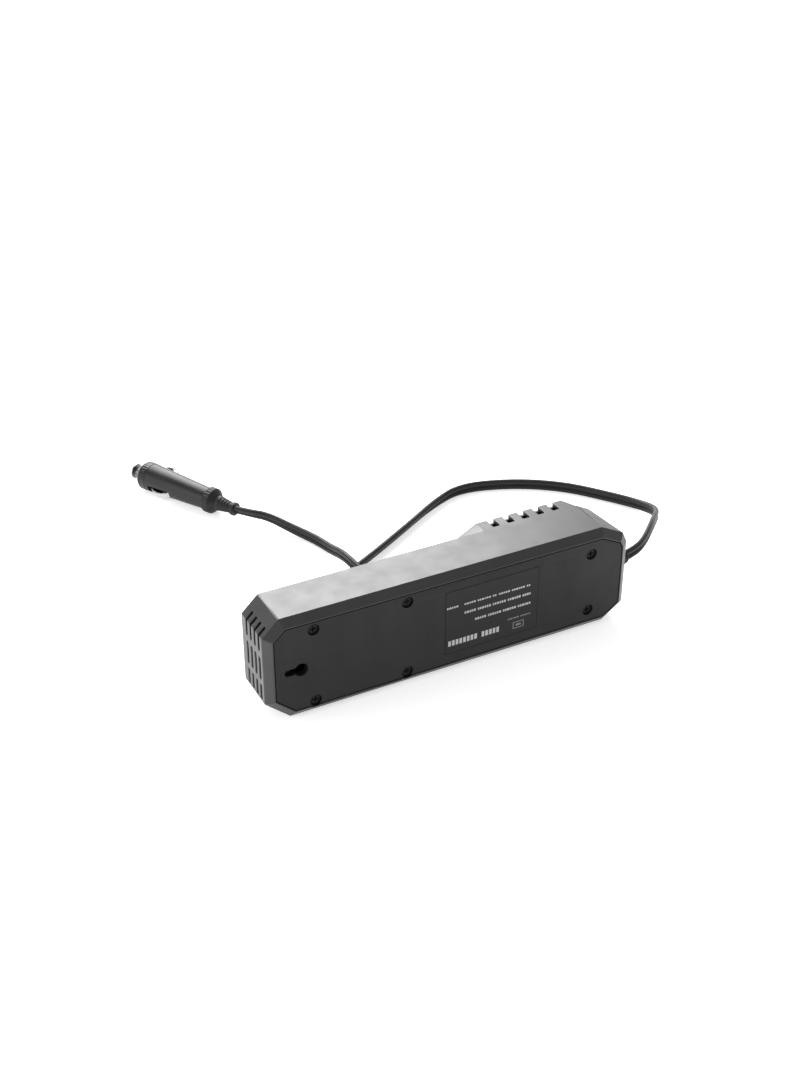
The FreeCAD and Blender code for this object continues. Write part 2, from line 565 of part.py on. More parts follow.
def charging_ports():
    front = f"{FRONT} - port_sink"
    plate = block(("panel_left", "panel_right"), (f"{FRONT} - panel_thick", FRONT),
                  ("panel_z - panel_wide/2", "panel_z + panel_wide/2"))
    holes = [block((f"{x} - {a}/2 - 0.1", f"{x} + {a}/2 + 0.1"), (f"{INNER} - 2", f"{FRONT} + 1"),
                   (f"panel_z - {c}/2 - 0.1", f"panel_z + {c}/2 + 0.1"))
             for x, a, c in PORTS + [("port_c_x", "port_c_long", "port_c_z")]]
    keep(cut(plate, *holes), "port_panel")
    keep(group(*[tube_box(x, a, c, front, "port_deep") for x, a, c in PORTS]), "usb_a_shells")
    back = f"{front} - port_deep + port_shell"
    tongues = [block((f"{x} - tongue_x/2", f"{x} + tongue_x/2"), (back, f"{back} + tongue_deep + 3"),
                     ("panel_z + tongue_shift - tongue_z/2", "panel_z + tongue_shift + tongue_z/2"))
               for x, a, c in PORTS]
    keep(group(*tongues), "usb_a_tongues")
    keep(tube_box("port_c_x", "port_c_long", "port_c_z", front, "port_deep"), "usb_c_shell")
    keep(block(("port_c_x - port_c_tongue_x/2", "port_c_x + port_c_tongue_x/2"),
               (back, f"{back} + tongue_deep + 3"),
               ("panel_z - port_c_tongue_z/2", "panel_z + port_c_tongue_z/2")), "usb_c_tongue")
    seat = f"{front} - port_deep"
    keep(block(("port_board_left", "port_board_right"), (f"{seat} - port_board_thick", seat),
               ("panel_z - port_board_wide/2", "panel_z + port_board_wide/2")), "port_board")
    for name, side in (("power_lens", 1), ("fault_lens", -1)):
        z = f"panel_z + lens_pitch/2*{side}"
        stem = rod("y", ("lens_x", f"{FRONT} + lens_proud - lens_long", z), "lens_radius", "lens_long")
        flange = rod("y", ("lens_x", f"{INNER} - 1.2", z), "lens_flange", "1.1")
        keep(fuse(stem, flange), name)
    leds = [block(("lens_x - led_wide/2", "lens_x + led_wide/2"), (BOARD, f"{BOARD} + led_high"),
                  (f"panel_z + lens_pitch/2*{side} - led_wide/2", f"panel_z + lens_pitch/2*{side} + led_wide/2"))
            for side in (-1, 1)]
    keep(group(*leds), "indicator_leds")


# ---------------------------------------------------------------- mains outlet

def pin_opening(x, low, high):
    """One pin hole: a rectangle with a round middle, so that flat and round pins both go in."""
    slot = block((f"{x} - pin_hole_x/2", f"{x} + pin_hole_x/2"), (low, high),
                 ("pin_row_z - pin_hole_z/2", "pin_row_z + pin_hole_z/2"))
    return fuse(slot, rod("y", (x, low, "pin_row_z"), "pin_hole_round", f"({high}) - ({low})"))


PIN_XS = ("outlet_x - pin_half_pitch", "outlet_x + pin_half_pitch")


def leaf_pair(x, z, low):
    """A U-shaped brass socket contact with two upright leaves."""
    half, deep = "leaf_wide/2", (low, f"{low} + leaf_deep")
    leaves = [block((f"{x} + {a}", f"{x} + {a} + leaf_thick"), deep, (f"{z} - {half}", f"{z} + {half}"))
              for a in ("leaf_gap/2", "-leaf_gap/2 - leaf_thick")]
    floor = block((f"{x} - leaf_gap/2 - 0.1", f"{x} + leaf_gap/2 + 0.1"), (low, f"{low} + leaf_thick"),
                  (f"{z} - {half}", f"{z} + {half}"))
    return fuse(floor, *leaves)


def mains_outlet():
    b = new_body("outlet_face")
    top = f"{CREST} - outlet_sink"
    half = "(outlet_size/2 - outlet_gap)"
    face = level(b, top, octagon(half, "outlet_corner"), "outlet_plate")
    pad(b, face, f"{top} - ({CREST} - wall) + outlet_lip_thick - 0.1")
    lip = level(b, f"{CREST} - wall - 0.05", octagon("(outlet_size/2 + outlet_lip)", "outlet_corner"),
                "outlet_lip")
    pad(b, lip, "outlet_lip_thick")
    holes = sketch(b, "XZ_Plane", f"-({top} + 1)", "pin_slots")
    for x in PIN_XS:
        rectangle(holes, (f"{x} - pin_hole_x/2", f"{x} + pin_hole_x/2"),
                  ("pin_row_z - pin_hole_z/2", "pin_row_z + pin_hole_z/2"))
    rectangle(holes, ("outlet_x - earth_x/2", "outlet_x + earth_x/2"),
              ("earth_z - earth_hole_z/2", "earth_z + earth_hole_z/2"))
    pocket(b, holes, "8", reverse=True)
    rounds = sketch(b, "XZ_Plane", f"-({top} + 1)", "pin_rounds")
    for x in PIN_XS:
        circle(rounds, x, "pin_row_z", "pin_hole_round")
    pocket(b, rounds, "8", reverse=True)

    seat = f"({CREST} - wall - outlet_lip_thick - 0.05)"
    floor = f"({seat} - carrier_deep)"
    cup = block(("outlet_x - carrier_x/2", "outlet_x + carrier_x/2"), (floor, seat),
                ("outlet_z - carrier_z/2", "outlet_z + carrier_z/2"))
    hollow = block(("outlet_x - carrier_x/2 + carrier_wall", "outlet_x + carrier_x/2 - carrier_wall"),
                   (f"{floor} + carrier_wall", f"{seat} + 1"),
                   ("outlet_z - carrier_z/2 + carrier_wall", "outlet_z + carrier_z/2 - carrier_wall"))
    keep(cut(cup, hollow), "outlet_carrier")

    low = f"{floor} + carrier_wall"
    keep(group(*[leaf_pair(x, "pin_row_z", low) for x in PIN_XS]), "outlet_contacts")
    keep(leaf_pair("outlet_x", "earth_z", low), "earth_contact")
    keep(block(("outlet_x - shutter_x/2", "outlet_x + shutter_x/2"),
               (f"{seat} - shutter_gap - shutter_thick", f"{seat} - shutter_gap"),
               ("pin_row_z - shutter_z/2", "pin_row_z + shutter_z/2")), "outlet_shutter")
    guides = [block((f"outlet_x + {a}", f"outlet_x + {a} + 1.5"),
                    (f"{seat} - shutter_gap - shutter_thick - 2", f"{seat} - shutter_gap - shutter_thick - 0.3"),
                    ("outlet_z - carrier_z/2 + carrier_wall", "outlet_z + carrier_z/2 - carrier_wall"))
              for a in ("carrier_x/2 - carrier_wall - 1.5", "-carrier_x/2 + carrier_wall")]
    keep(group(*guides), "shutter_guides")


# ---------------------------------------------------------------- fan

def fan():
    half = "fan_size/2"
    frame = block(("fan_x", "fan_x + fan_thick"), (f"fan_y - {half}", f"fan_y + {half}"),
                  (f"fan_z - {half}", f"fan_z + {half}"))
    bore = rod("x", ("fan_x - 1", "fan_y", "fan_z"), "fan_bore", "fan_thick + 2")
    motor_x = "fan_x + fan_thick - motor_thick"
    struts = [block((motor_x, "fan_x + fan_thick"), (y[0], y[1]), (z[0], z[1])) for y, z in (
        (("fan_y - strut_wide/2", "fan_y + strut_wide/2"), (f"fan_z - {half} + 0.2", f"fan_z + {half} - 0.2")),
        ((f"fan_y - {half} + 0.2", f"fan_y + {half} - 0.2"), ("fan_z - strut_wide/2", "fan_z + strut_wide/2")))]
    motor = rod("x", (motor_x, "fan_y", "fan_z"), "motor_radius", "motor_thick")
    keep(fuse(cut(frame, bore), motor, *struts), "fan_frame")

    b = new_body("fan_rotor")
    s = sketch(b, "XY_Plane", "0", "hub_disc")
    circle(s, "0", "0", "hub_radius")
    pad(b, s, "hub_long")
    place(b, ("fan_x + 0.6", "fan_y", "fan_z"), ((0, 1, 0), 90))
    blade = sketch(b, "XZ_Plane", "-blade_tip", "blade_section")
    lean, reach = "blade_thick/2/cos(blade_pitch)", "blade_chord/2*sin(blade_pitch)"
    rise, middle = "blade_chord/2*cos(blade_pitch)", "hub_long/2"
    polygon(blade, [(f"-{reach} - {lean}", f"{middle} - {rise}"), (f"-{reach} + {lean}", f"{middle} - {rise}"),
                    (f"{reach} + {lean}", f"{middle} + {rise}"), (f"{reach} - {lean}", f"{middle} + {rise}")])
    one = pad(b, blade, "blade_tip - blade_root")
    ring = b.newObject("PartDesign::PolarPattern", "blades")
    ring.Originals = [one]
    ring.Axis = (s, ["N_Axis"])
    ring.Angle = 360
    ring.Occurrences = SIZES["blade_count"]
    b.Tip = ring


# ---------------------------------------------------------------- circuit board and components

def board_part(x, z, size_x, size_z, high, lift="0"):
    """A block that stands on the front of the main board."""
    return block((f"{x} - ({size_x})/2", f"{x} + ({size_x})/2"), (f"{BOARD} + {lift}", f"{BOARD} + {lift} + {high}"),
                 (f"{z} - ({size_z})/2", f"{z} + ({size_z})/2"))


def main_board():
    board = block(("board_left", "board_right"), (f"{BACK} + board_back", BOARD), ("board_low", "board_high"))
    holes = [rod("y", (x, f"{BACK} + board_back - 1", z), "board_hole", "board_thick + 2")
             for x, z in BOARD_POSTS]
    keep(cut(board, *holes), "main_board")


def transformer():
    lift = "0.8"
    frame = board_part("core_x", "core_z", "core_long", "core_thick", "core_deep", lift)
    window = board_part("core_x", "core_z", "core_long - 2*core_yoke", "core_thick + 2",
                        "core_deep - 2*core_yoke", f"{lift} + core_yoke")
    limb = board_part("core_x", "core_z", "core_limb", "core_thick", "core_deep", lift)
    keep(fuse(cut(frame, window), limb), "transformer_core")
    outer = board_part("core_x", "core_z", "core_long - 2*core_yoke - 0.6", "winding_thick",
                       "core_deep - 2*core_yoke - 2", f"{lift} + core_yoke + 1")
    tunnel = board_part("core_x", "core_z", "core_limb", "core_thick", "core_deep", lift)
    keep(cut(outer, tunnel), "transformer_winding")
    flanges = [board_part("core_x", "core_z", "core_long - 2*core_yoke - 0.2", "winding_thick + 0.4", "0.9",
                          f"{lift} + core_yoke + {at}") for at in ("0.1", "(core_deep - 2*core_yoke - 1)")]
    tunnel_two = board_part("core_x", "core_z", "core_limb", "core_thick", "core_deep", lift)
    keep(cut(group(*flanges), tunnel_two), "transformer_bobbin")


def heatsink(z, fin_side):
    plate = board_part("(sink_left + sink_right)/2", z, "sink_right - sink_left", "sink_thick", "sink_high")
    pitch = "(sink_right - sink_left - fin_thick)/(fin_count - 1)"
    fins = [board_part(f"sink_left + fin_thick/2 + {pitch}*{i}",
                       f"{z} + (sink_thick/2 + fin_proud/2 - 0.1)*{fin_side}",
                       "fin_thick", "fin_proud + 0.2", "sink_high") for i in range(SIZES["fin_count"])]
    return fuse(plate, *fins)


def transistor_row(z, count, first, side):
    """Power transistors flat against a heatsink, each on three legs, and the screws that hold them."""
    bodies, screws = [], []
    for i in range(count):
        x = f"{first} + fet_pitch*{i}"
        body = board_part(x, z, "fet_wide", "fet_thick", "fet_high", "fet_lift")
        legs = [board_part(f"{x} + fet_leg_pitch*{k}", z, "fet_leg", "fet_leg", "fet_lift + 0.1") for k in (-1, 0, 1)]
        tab = board_part(x, f"{z} + (fet_thick/2 - 0.6)*{side}", "fet_wide", "1.2", "5", "fet_lift + fet_high - 0.1")
        hole = rod("z", (x, f"{BOARD} + fet_lift + fet_high + 2.6", f"{z} - 6"), "0.8", "12")
        bodies.append(cut(fuse(body, tab, *legs), hole))
        start = f"{z} + (fet_thick/2 - 1.2)*{side} - clip_proud*{(1 + side) // 2}"
        screws.append(rod("z", (x, f"{BOARD} + fet_lift + fet_high + 2.6", start), "clip_radius", "clip_proud"))
    return group(*bodies), group(*screws)


def power_stage():
    keep(heatsink("sink_top_z", 1), "input_heatsink")
    keep(heatsink("sink_low_z + 2.4", -1), "output_heatsink")
    row, screws = transistor_row("sink_top_z - sink_thick/2 - fet_thick/2", 3, "fet_first", 1)
    keep(row, "input_transistors")
    keep(screws, "input_transistor_screws")
    row, screws = transistor_row("sink_low_z + 2.4 + sink_thick/2 + fet_thick/2", 3, "fet_first", -1)
    keep(row, "output_transistors")
    keep(screws, "output_transistor_screws")


def chip(x):
    body = board_part(x, "chip_z", "chip_long", "chip_wide", "chip_high", "0.6")
    legs = []
    for i in range(SIZES["chip_legs"]):
        at = f"{x} + chip_leg_pitch*({i} - (chip_legs - 1)/2)"
        for side in (-1, 1):
            legs.append(board_part(at, f"chip_z + (chip_wide/2 + chip_leg_out/2)*{side}", "chip_leg",
                                   "chip_leg_out + 0.2", "2.2"))
    return fuse(body, *legs)


def components():
    keep(group(*[rod("y", ("bulk_x", BOARD, z), "bulk_radius", "bulk_tall")
                 for z in ("bulk_low", "bulk_high")]), "input_capacitors")
    keep(rod("x", ("bus_left", f"{BOARD} + bus_radius", "bus_z"), "bus_radius", "bus_long"), "bus_capacitor")
    ring = cut(rod("y", ("choke_x", f"{BOARD} + 1.2", "choke_z"), "choke_outer - choke_wire*2", "choke_high"),
               rod("y", ("choke_x", f"{BOARD} + 0.5", "choke_z"), "choke_inner + choke_wire*2", "choke_high + 2"))
    keep(ring, "choke_core")
    turns = []
    for i in range(SIZES["choke_turns"]):
        angle = 360 / SIZES["choke_turns"] * i
        loop = cut(box(("choke_inner", "-choke_wire/2", "-choke_wire"),
                       ("choke_outer - choke_inner", "choke_wire*1.6", "choke_high + 2*choke_wire")),
                   box(("choke_inner + choke_wire", "-2", "0"),
                       ("choke_outer - choke_inner - 2*choke_wire", "4", "choke_high")))
        loop.Placement = FreeCAD.Placement(Vector(), Rotation(Vector(1, 0, 0), -90) * Rotation(Vector(0, 0, 1), angle))
        place(loop, ("choke_x", f"{BOARD} + 1.2", "choke_z"))
        turns.append(loop)
    keep(group(*turns), "choke_winding")
    fuse_y = f"{BOARD} + fuse_radius + 1.4"
    keep(rod("x", ("fuse_left", fuse_y, "fuse_z"), "fuse_radius", "fuse_long"), "board_fuse")
    clips = []
    for x in ("fuse_left + 1", "fuse_left + fuse_long - 1 - 3"):
        outer = block((x, f"{x} + 3"), (BOARD, f"{fuse_y} + 1"),
                      ("fuse_z - fuse_radius - clip_wall", "fuse_z + fuse_radius + clip_wall"))
        clips.append(cut(outer, rod("x", (f"{x} - 1", fuse_y, "fuse_z"), "fuse_radius", "5"),
                         block((f"{x} - 1", f"{x} + 4"), (fuse_y, f"{fuse_y} + 3"),
                               ("fuse_z - fuse_radius", "fuse_z + fuse_radius"))))
    keep(group(*clips), "fuse_clips")
    sounder = cut(rod("y", ("buzzer_x", BOARD, "buzzer_z"), "buzzer_radius", "buzzer_high"),
                  rod("y", ("buzzer_x", f"{BOARD} + buzzer_high - 1", "buzzer_z"), "buzzer_port", "2"))
    keep(sounder, "buzzer")
    keep(board_part("film_x", "film_z", "film_long", "film_wide", "film_high"), "film_capacitor")
    keep(chip("chip_one_x"), "boost_controller")
    keep(chip("chip_two_x"), "output_controller")


# ---------------------------------------------------------------- cord

ROUTE = [
    (124.04, -4.58, 31.5), (134.7, -2.1, 31.5), (147, 6.5, 30.8), (161, 20.5, 27.5), (177.5, 38.5, 20),
    (190.5, 53.5, 12.5), (197, 68, 6.5), (194.2, 83, 3.8), (183.5, 98.5, 3.8), (164, 123.8, 3.8),
    (135.5, 143.3, 3.8), (100.5, 154.3, 3.8), (74.5, 143.8, 3.8), (43.5, 125, 3.8), (12.5, 106.7, 3.8),
    (-18.5, 90, 3.8), (-41.5, 79, 3.8), (-58.5, 66.5, 3.8), (-64.5, 47.5, 3.8), (-56, 30, 3.8),
    (-36.5, 21.5, 3.8), (-15, 26, 3.8), (-3.5, 43, 3.8), (-5, 62, 6.5), (-10, 83, 13), (-11, 103, 13),
    (-11, 121, 5.5), (-14, 138.5, 3.8), (-22.5, 157, 4.2), (-32.5, 173.5, 7.5), (-42, 180, 9),
    (-48.4, 189.5, 8.53),
]


def route_path(points):
    """Straight runs joined by tangent arcs, and the arcs' radii."""
    edges, radii, start = [], [], points[0]
    for a, b, c in zip(points, points[1:], points[2:]):
        into, out = (b - a), (c - b)
        half = into.getAngle(out) / 2
        reach = 0.45 * min(into.Length, out.Length)
        radii.append(reach / math.tan(half))
        into.normalize()
        out.normalize()
        first, last = b - into * reach, b + out * reach
        middle = b + (out - into).normalize() * (radii[-1] / math.cos(half) - radii[-1])
        edges += [Part.LineSegment(start, first).toShape(), Part.Arc(first, middle, last).toShape()]
        start = last
    edges.append(Part.LineSegment(start, points[-1]).toShape())
    return Part.Wire(edges), radii


def supply_cord():
    points = [Vector(*p) for p in ROUTE]
    wire, radii = route_path(points)
    radius = sheet.cord_width / 2
    ring = Part.Wire(Part.makeCircle(radius, points[0], points[1] - points[0]))
    solid = wire.makePipeShell([ring], True, False)
    expected = math.pi * radius ** 2 * wire.Length
    print("cord length", round(wire.Length, 1), "volume ratio", round(solid.Volume / expected, 4))
    print("cord radii", [round(r) for r in radii])
    cord = doc.addObject("Part::Feature", "supply_cord")
    cord.Shape = solid
    keep(cord, "supply_cord")


def cord_relief():
    """A rubber bush square to the leaning end wall: a flange inside it, and a tail that tapers outside."""
    b = new_body("cord_relief")
    s = sketch(b, "XY_Plane", "0", "relief_outline")
    polygon(s, [("-relief_inside", "0"), ("-relief_inside", "relief_flange"),
                ("-relief_inside + flange_thick", "relief_flange"),
                ("-relief_inside + flange_thick", "relief_neck"), ("0.1", "relief_neck"),
                ("0.1", "relief_root"), ("1.6", "relief_root"),
                ("relief_long", "relief_tip"), ("relief_long", "0")])
    revolve(b, s)
    place(b, ("relief_x", "relief_y", "relief_z"), ((0, 0, 1), SIZES["relief_turn"]))


# ---------------------------------------------------------------- accessory plug

def plug_place(body):
    """Puts a piece that is drawn along +X, with its contacts towards +Z and -Z, where the plug lies."""
    lie = Rotation(Vector(0, 0, 1), SIZES["plug_heading"]) * Rotation(Vector(0, 1, 0), -SIZES["plug_pitch"])
    roll = Rotation(Vector(1, 0, 0), SIZES["plug_roll"])
    body.Placement = FreeCAD.Placement(Vector(), lie * roll)
    place(body, ("plug_x", "plug_y", "plug_axis_z"))
    return body


def turned(label, points, angle=360):
    """A piece turned about the plug's axis from half its outline."""
    b = new_body(label)
    s = sketch(b, "XY_Plane", "0", label + "_outline")
    polygon(s, points)
    revolve(b, s, angle)
    return plug_place(b)


def plug():
    turned("plug_boot", [("0", "0"), ("0", "ring_radius"), ("ring_long", "ring_radius"),
                         ("ring_long", "tail_small"), ("tail_end", "tail_large"), ("cone_end", "collar_small"),
                         ("cone_end + 1", "collar_radius"), ("collar_end - 0.8", "collar_radius"),
                         ("collar_end", "collar_small"), ("collar_end", "0")])
    shell = [("collar_end", "body_small"), ("body_end", "body_large"), ("body_end", "neck_radius"),
             ("neck_end", "neck_radius"), ("neck_end", "neck_radius - body_wall"),
             ("body_end - 2", "body_large - body_wall - 0.4"), ("collar_end + 2", "body_small - body_wall"),
             ("collar_end + 2", "1.5"), ("collar_end", "1.5")]
    for label, reverse in (("plug_near_half", False), ("plug_far_half", True)):
        b = new_body(label)
        s = sketch(b, "XZ_Plane", "0", label + "_outline")
        polygon(s, shell)
        half = revolve(b, s, 180)
        half.Reversed = reverse
        window = sketch(b, "XY_Plane", "-12", label + "_window")
        rectangle(window, ("slot_start", "slot_end"), ("-plug_slot_wide/2", "plug_slot_wide/2"))
        pocket(b, window, "24", reverse=True)
        plug_place(b)
    turned("plug_nose_cap", [("body_end + 0.1", "neck_radius + 0.05"), ("body_end + 0.1", "nose_radius"),
                             ("nose_end - 1.6", "nose_radius"), ("nose_end", "nose_front"),
                             ("nose_end", "stem_hole"), ("nose_end - nose_wall", "stem_hole"),
                             ("nose_end - nose_wall", "neck_radius + 0.05")])
    turned("plug_tip", [("stem_start", "0"), ("stem_start", "stem_flange"), ("stem_flange_end", "stem_flange"),
                        ("stem_flange_end", "stem_radius"), ("tip_start", "stem_radius"),
                        ("tip_start", "tip_radius"), ("tip_start + 1.2", "tip_radius"),
                        ("tip_start + 2.2", "3"), ("tip_end", "1.2"), ("tip_end", "0")])
    turned("plug_fuse", [("plug_fuse_start", "0"), ("plug_fuse_start", "plug_fuse_radius"),
                         ("plug_fuse_end", "plug_fuse_radius"), ("plug_fuse_end", "0")])
    for label, side in (("plug_near_contact", -1), ("plug_far_contact", 1)):
        b = new_body(label)
        s = sketch(b, "XZ_Plane", "-contact_wide/2", label + "_outline")
        middle, quarter = "(leaf_start + leaf_end)/2", "(leaf_end - leaf_start)/4"
        shoulder = "(leaf_edge_radius + 0.8*(leaf_bulge - leaf_edge_radius))"
        upper = [("leaf_foot", "leaf_foot_radius"), ("leaf_start - 1.6", "leaf_foot_radius"),
                 ("leaf_start", "leaf_edge_radius"), (f"{middle} - {quarter}", shoulder),
                 (middle, "leaf_bulge"), (f"{middle} + {quarter}", shoulder),
                 ("leaf_end", "leaf_edge_radius")]
        lower = [(x, f"({r} - contact_thick)") for x, r in reversed(upper)]
        polygon(s, [(x, f"({r})*{side}") for x, r in upper + lower])
        pad(b, s, "contact_wide")
        plug_place(b)
    spring = doc.addObject("Part::Feature", "plug_spring")
    pitch, turns, radius = sheet.coil_pitch, sheet.coil_turns, sheet.coil_radius
    start = sheet.plug_fuse_end + sheet.coil_wire + 0.05
    helix = Part.makeHelix(pitch, pitch * turns, radius)
    helix.Placement = FreeCAD.Placement(Vector(start, 0, 0), Rotation(Vector(0, 1, 0), 90))
    ring = Part.Wire(Part.makeCircle(sheet.coil_wire, Vector(start, 0, -radius), Vector(0, 1, 0)))
    spring.Shape = Part.Wire(helix.Edges).makePipeShell([ring], True, True)
    keep(plug_place(spring), "plug_spring")


def write_parts():
    """Checks every object and every sub-part, then writes one file for each sub-part."""
    for thing in doc.Objects:
        if "Invalid" in thing.State or "Error" in thing.State:
            raise RuntimeError(f"{thing.Label} failed: {thing.State}")
    for before, after in pockets:
        if before is not None and after.Shape.Volume > before.Shape.Volume - 0.01:
            raise RuntimeError(f"{after.Name} cut nothing")
    os.makedirs("parts", exist_ok=True)
    for label, thing in nodes.items():
        shape = thing.Shape
        if shape.isNull() or not shape.isValid() or not shape.Solids:
            raise RuntimeError(f"{label} has no valid solid")
        shape.exportStep(f"parts/{label}.step")
    print(len(nodes), "parts written")


housing()
base_plate()
fasteners()
label()
power_switch()
charging_ports()
mains_outlet()
fan()
main_board()
transformer()
power_stage()
components()
supply_cord()
cord_relief()
plug()
doc.recompute()
write_parts()
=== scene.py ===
"""Looks for the power inverter: camera, cord, detailed pieces, materials and light, in metres."""
import math

import bmesh
import bpy
from mathutils import Matrix, Vector


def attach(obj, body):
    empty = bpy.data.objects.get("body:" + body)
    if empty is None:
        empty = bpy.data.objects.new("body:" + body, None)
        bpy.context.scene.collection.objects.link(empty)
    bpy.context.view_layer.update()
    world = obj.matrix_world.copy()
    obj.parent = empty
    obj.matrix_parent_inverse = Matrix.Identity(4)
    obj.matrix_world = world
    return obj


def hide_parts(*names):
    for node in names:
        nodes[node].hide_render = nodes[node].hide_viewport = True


MM = 0.001
# Places and sizes shared with the CAD, in millimetres and degrees.
BOARD_TOP = -11.8
MIDDLE_Z = 33
SWITCH_X = -82
SWITCH_SPACING = 5.2
OUTLET_X = 64.5
PLUG_TAIL = (-48.4, 189.5, 8.53)
PLUG_HEADING = 118.4
PLUG_PITCH = 0.95
PLUG_ROLL = 58
RELIEF_ROOT = (113.72, -7, 31.5)
RELIEF_TURN = 13.2
CORD_WIDTH = 7.4

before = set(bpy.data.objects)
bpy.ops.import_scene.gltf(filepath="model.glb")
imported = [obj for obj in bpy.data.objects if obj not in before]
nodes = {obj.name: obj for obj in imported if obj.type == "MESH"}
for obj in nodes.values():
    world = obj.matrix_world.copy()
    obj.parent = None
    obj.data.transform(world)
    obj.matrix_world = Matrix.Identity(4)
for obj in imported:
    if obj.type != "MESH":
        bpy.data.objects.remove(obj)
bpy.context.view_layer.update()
scene = bpy.context.scene


# ---------------------------------------------------------------- camera

CAMERA_PLACE = (-0.367, -0.663, 0.5471)
CAMERA_LOOK = (0.3885, 0.7528, -0.5314)
CAMERA_LENS = 52.75
CAMERA_SENSOR = 36


def add_camera():
    data = bpy.data.cameras.new("camera")
    data.lens = CAMERA_LENS
    data.sensor_width = CAMERA_SENSOR
    data.clip_start = 0.01
    camera = bpy.data.objects.new("camera", data)
    camera.location = CAMERA_PLACE
    camera.rotation_mode = "QUATERNION"
    camera.rotation_quaternion = Vector(CAMERA_LOOK).to_track_quat("-Z", "Y")
    scene.collection.objects.link(camera)
    scene.camera = camera


# ---------------------------------------------------------------- mesh helpers

def new_object(name, mesh, body="inverter"):
    obj = bpy.data.objects.new(name, mesh)
    scene.collection.objects.link(obj)
    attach(obj, body)
    return obj


def mesh_from(name, points, faces, body="inverter"):
    mesh = bpy.data.meshes.new(name)
    mesh.from_pydata([tuple(p) for p in points], [], faces)
    mesh.update()
    return new_object(name, mesh, body)


def smooth(obj, angle):
    obj.data.shade_smooth()
    obj.data.set_sharp_from_angle(angle=math.radians(angle))


def refined(node, width, segments=2):
    """A copy of a CAD piece with clean flat faces and rounded edges, which stands for it."""
    mesh = nodes[node].data.copy()
    bm = bmesh.new()
    bm.from_mesh(mesh)
    bmesh.ops.remove_doubles(bm, verts=bm.verts, dist=1e-6)
    bmesh.ops.dissolve_limit(bm, angle_limit=math.radians(0.6), verts=bm.verts, edges=bm.edges)
    bmesh.ops.triangulate(bm, faces=[f for f in bm.faces if len(f.verts) > 4])
    bm.to_mesh(mesh)
    bm.free()
    obj = new_object(node + "_round", mesh)
    bevel = obj.modifiers.new("edges", "BEVEL")
    bevel.width = width * MM
    bevel.segments = segments
    bevel.limit_method = "ANGLE"
    bevel.angle_limit = math.radians(28)
    bevel.use_clamp_overlap = False
    bevel.miter_outer = "MITER_ARC"
    smooth(obj, 8)
    flat = obj.modifiers.new("flat_faces", "WEIGHTED_NORMAL")
    flat.weight = 100
    flat.keep_sharp = True
    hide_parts(node)
    return obj


def slab(name, corners, body="inverter", where=None):
    """Flat boxes in one piece, each from its two opposite corners in millimetres."""
    points, faces = [], []
    for low, high in corners:
        at = len(points)
        for x in (low[0], high[0]):
            for y in (low[1], high[1]):
                for z in (low[2], high[2]):
                    points.append(Vector((x, y, z)))
        faces += [tuple(at + i for i in f) for f in ((0, 1, 3, 2), (4, 6, 7, 5), (0, 4, 5, 1),
                                                     (2, 3, 7, 6), (0, 2, 6, 4), (1, 5, 7, 3))]
    where = where or Matrix.Identity(4)
    return mesh_from(name, [(where @ p) * MM for p in points], faces, body)


def rounded(profile, radius, steps=3):
    """The outline (along, out) with its inner corners rounded."""
    line = [profile[0]]
    for a, b, c in zip(profile, profile[1:], profile[2:]):
        a, b, c = Vector(a), Vector(b), Vector(c)
        reach = min(radius, 0.45 * (a - b).length, 0.45 * (c - b).length)
        first, last = b + (a - b).normalized() * reach, b + (c - b).normalized() * reach
        for i in range(steps + 1):
            s = i / steps
            line.append(tuple(first * (1 - s) ** 2 + b * 2 * s * (1 - s) + last * s ** 2))
    return line + [profile[-1]]


def lathe(name, profile, where, body="inverter", around=72, wave=None):
    """Turns an outline (along, out) about +X of a frame; wave(along, turn) adds to the radius."""
    points, faces = [], []
    for x, r in profile:
        for i in range(around):
            turn = 2 * math.pi * i / around
            out = r + (wave(x, turn) if wave and r > 0.01 else 0)
            points.append((where @ Vector((x, out * math.cos(turn), out * math.sin(turn)))) * MM)
    count = len(profile)
    for k in range(count - 1):
        for i in range(around):
            j = (i + 1) % around
            faces.append((k * around + i, (k + 1) * around + i, (k + 1) * around + j, k * around + j))
    faces.append(tuple(range(around)))
    faces.append(tuple(reversed(range((count - 1) * around, count * around))))
    obj = mesh_from(name, points, faces, body)
    smooth(obj, 40)
    return obj


def tube(name, line, radius, around=10):
    """A round wire along a smooth line through the points, in millimetres."""
    places = [Vector(p) for p in line]
    path, steps = [], 8
    ends = [places[0]] + places + [places[-1]]
    for a, b, c, d in zip(ends, ends[1:], ends[2:], ends[3:]):
        for i in range(steps):
            s = i / steps
            path.append(0.5 * (2 * b + (c - a) * s + (2 * a - 5 * b + 4 * c - d) * s * s
                               + (3 * b - a - 3 * c + d) * s ** 3))
    path.append(places[-1])
    points, faces = [], []
    side = Vector((0.31, 0.52, 0.79))
    for i, place in enumerate(path):
        along = (path[min(i + 1, len(path) - 1)] - path[max(i - 1, 0)]).normalized()
        side = (side - along * side.dot(along)).normalized()
        up = along.cross(side)
        for k in range(around):
            turn = 2 * math.pi * k / around
            points.append((place + (side * math.cos(turn) + up * math.sin(turn)) * radius) * MM)
    for i in range(len(path) - 1):
        for k in range(around):
            j = (k + 1) % around
            faces.append((i * around + k, i * around + j, (i + 1) * around + j, (i + 1) * around + k))
    faces.append(tuple(reversed(range(around))))
    faces.append(tuple(range(len(points) - around, len(points))))
    obj = mesh_from(name, points, faces)
    smooth(obj, 60)
    return obj


# ---------------------------------------------------------------- materials

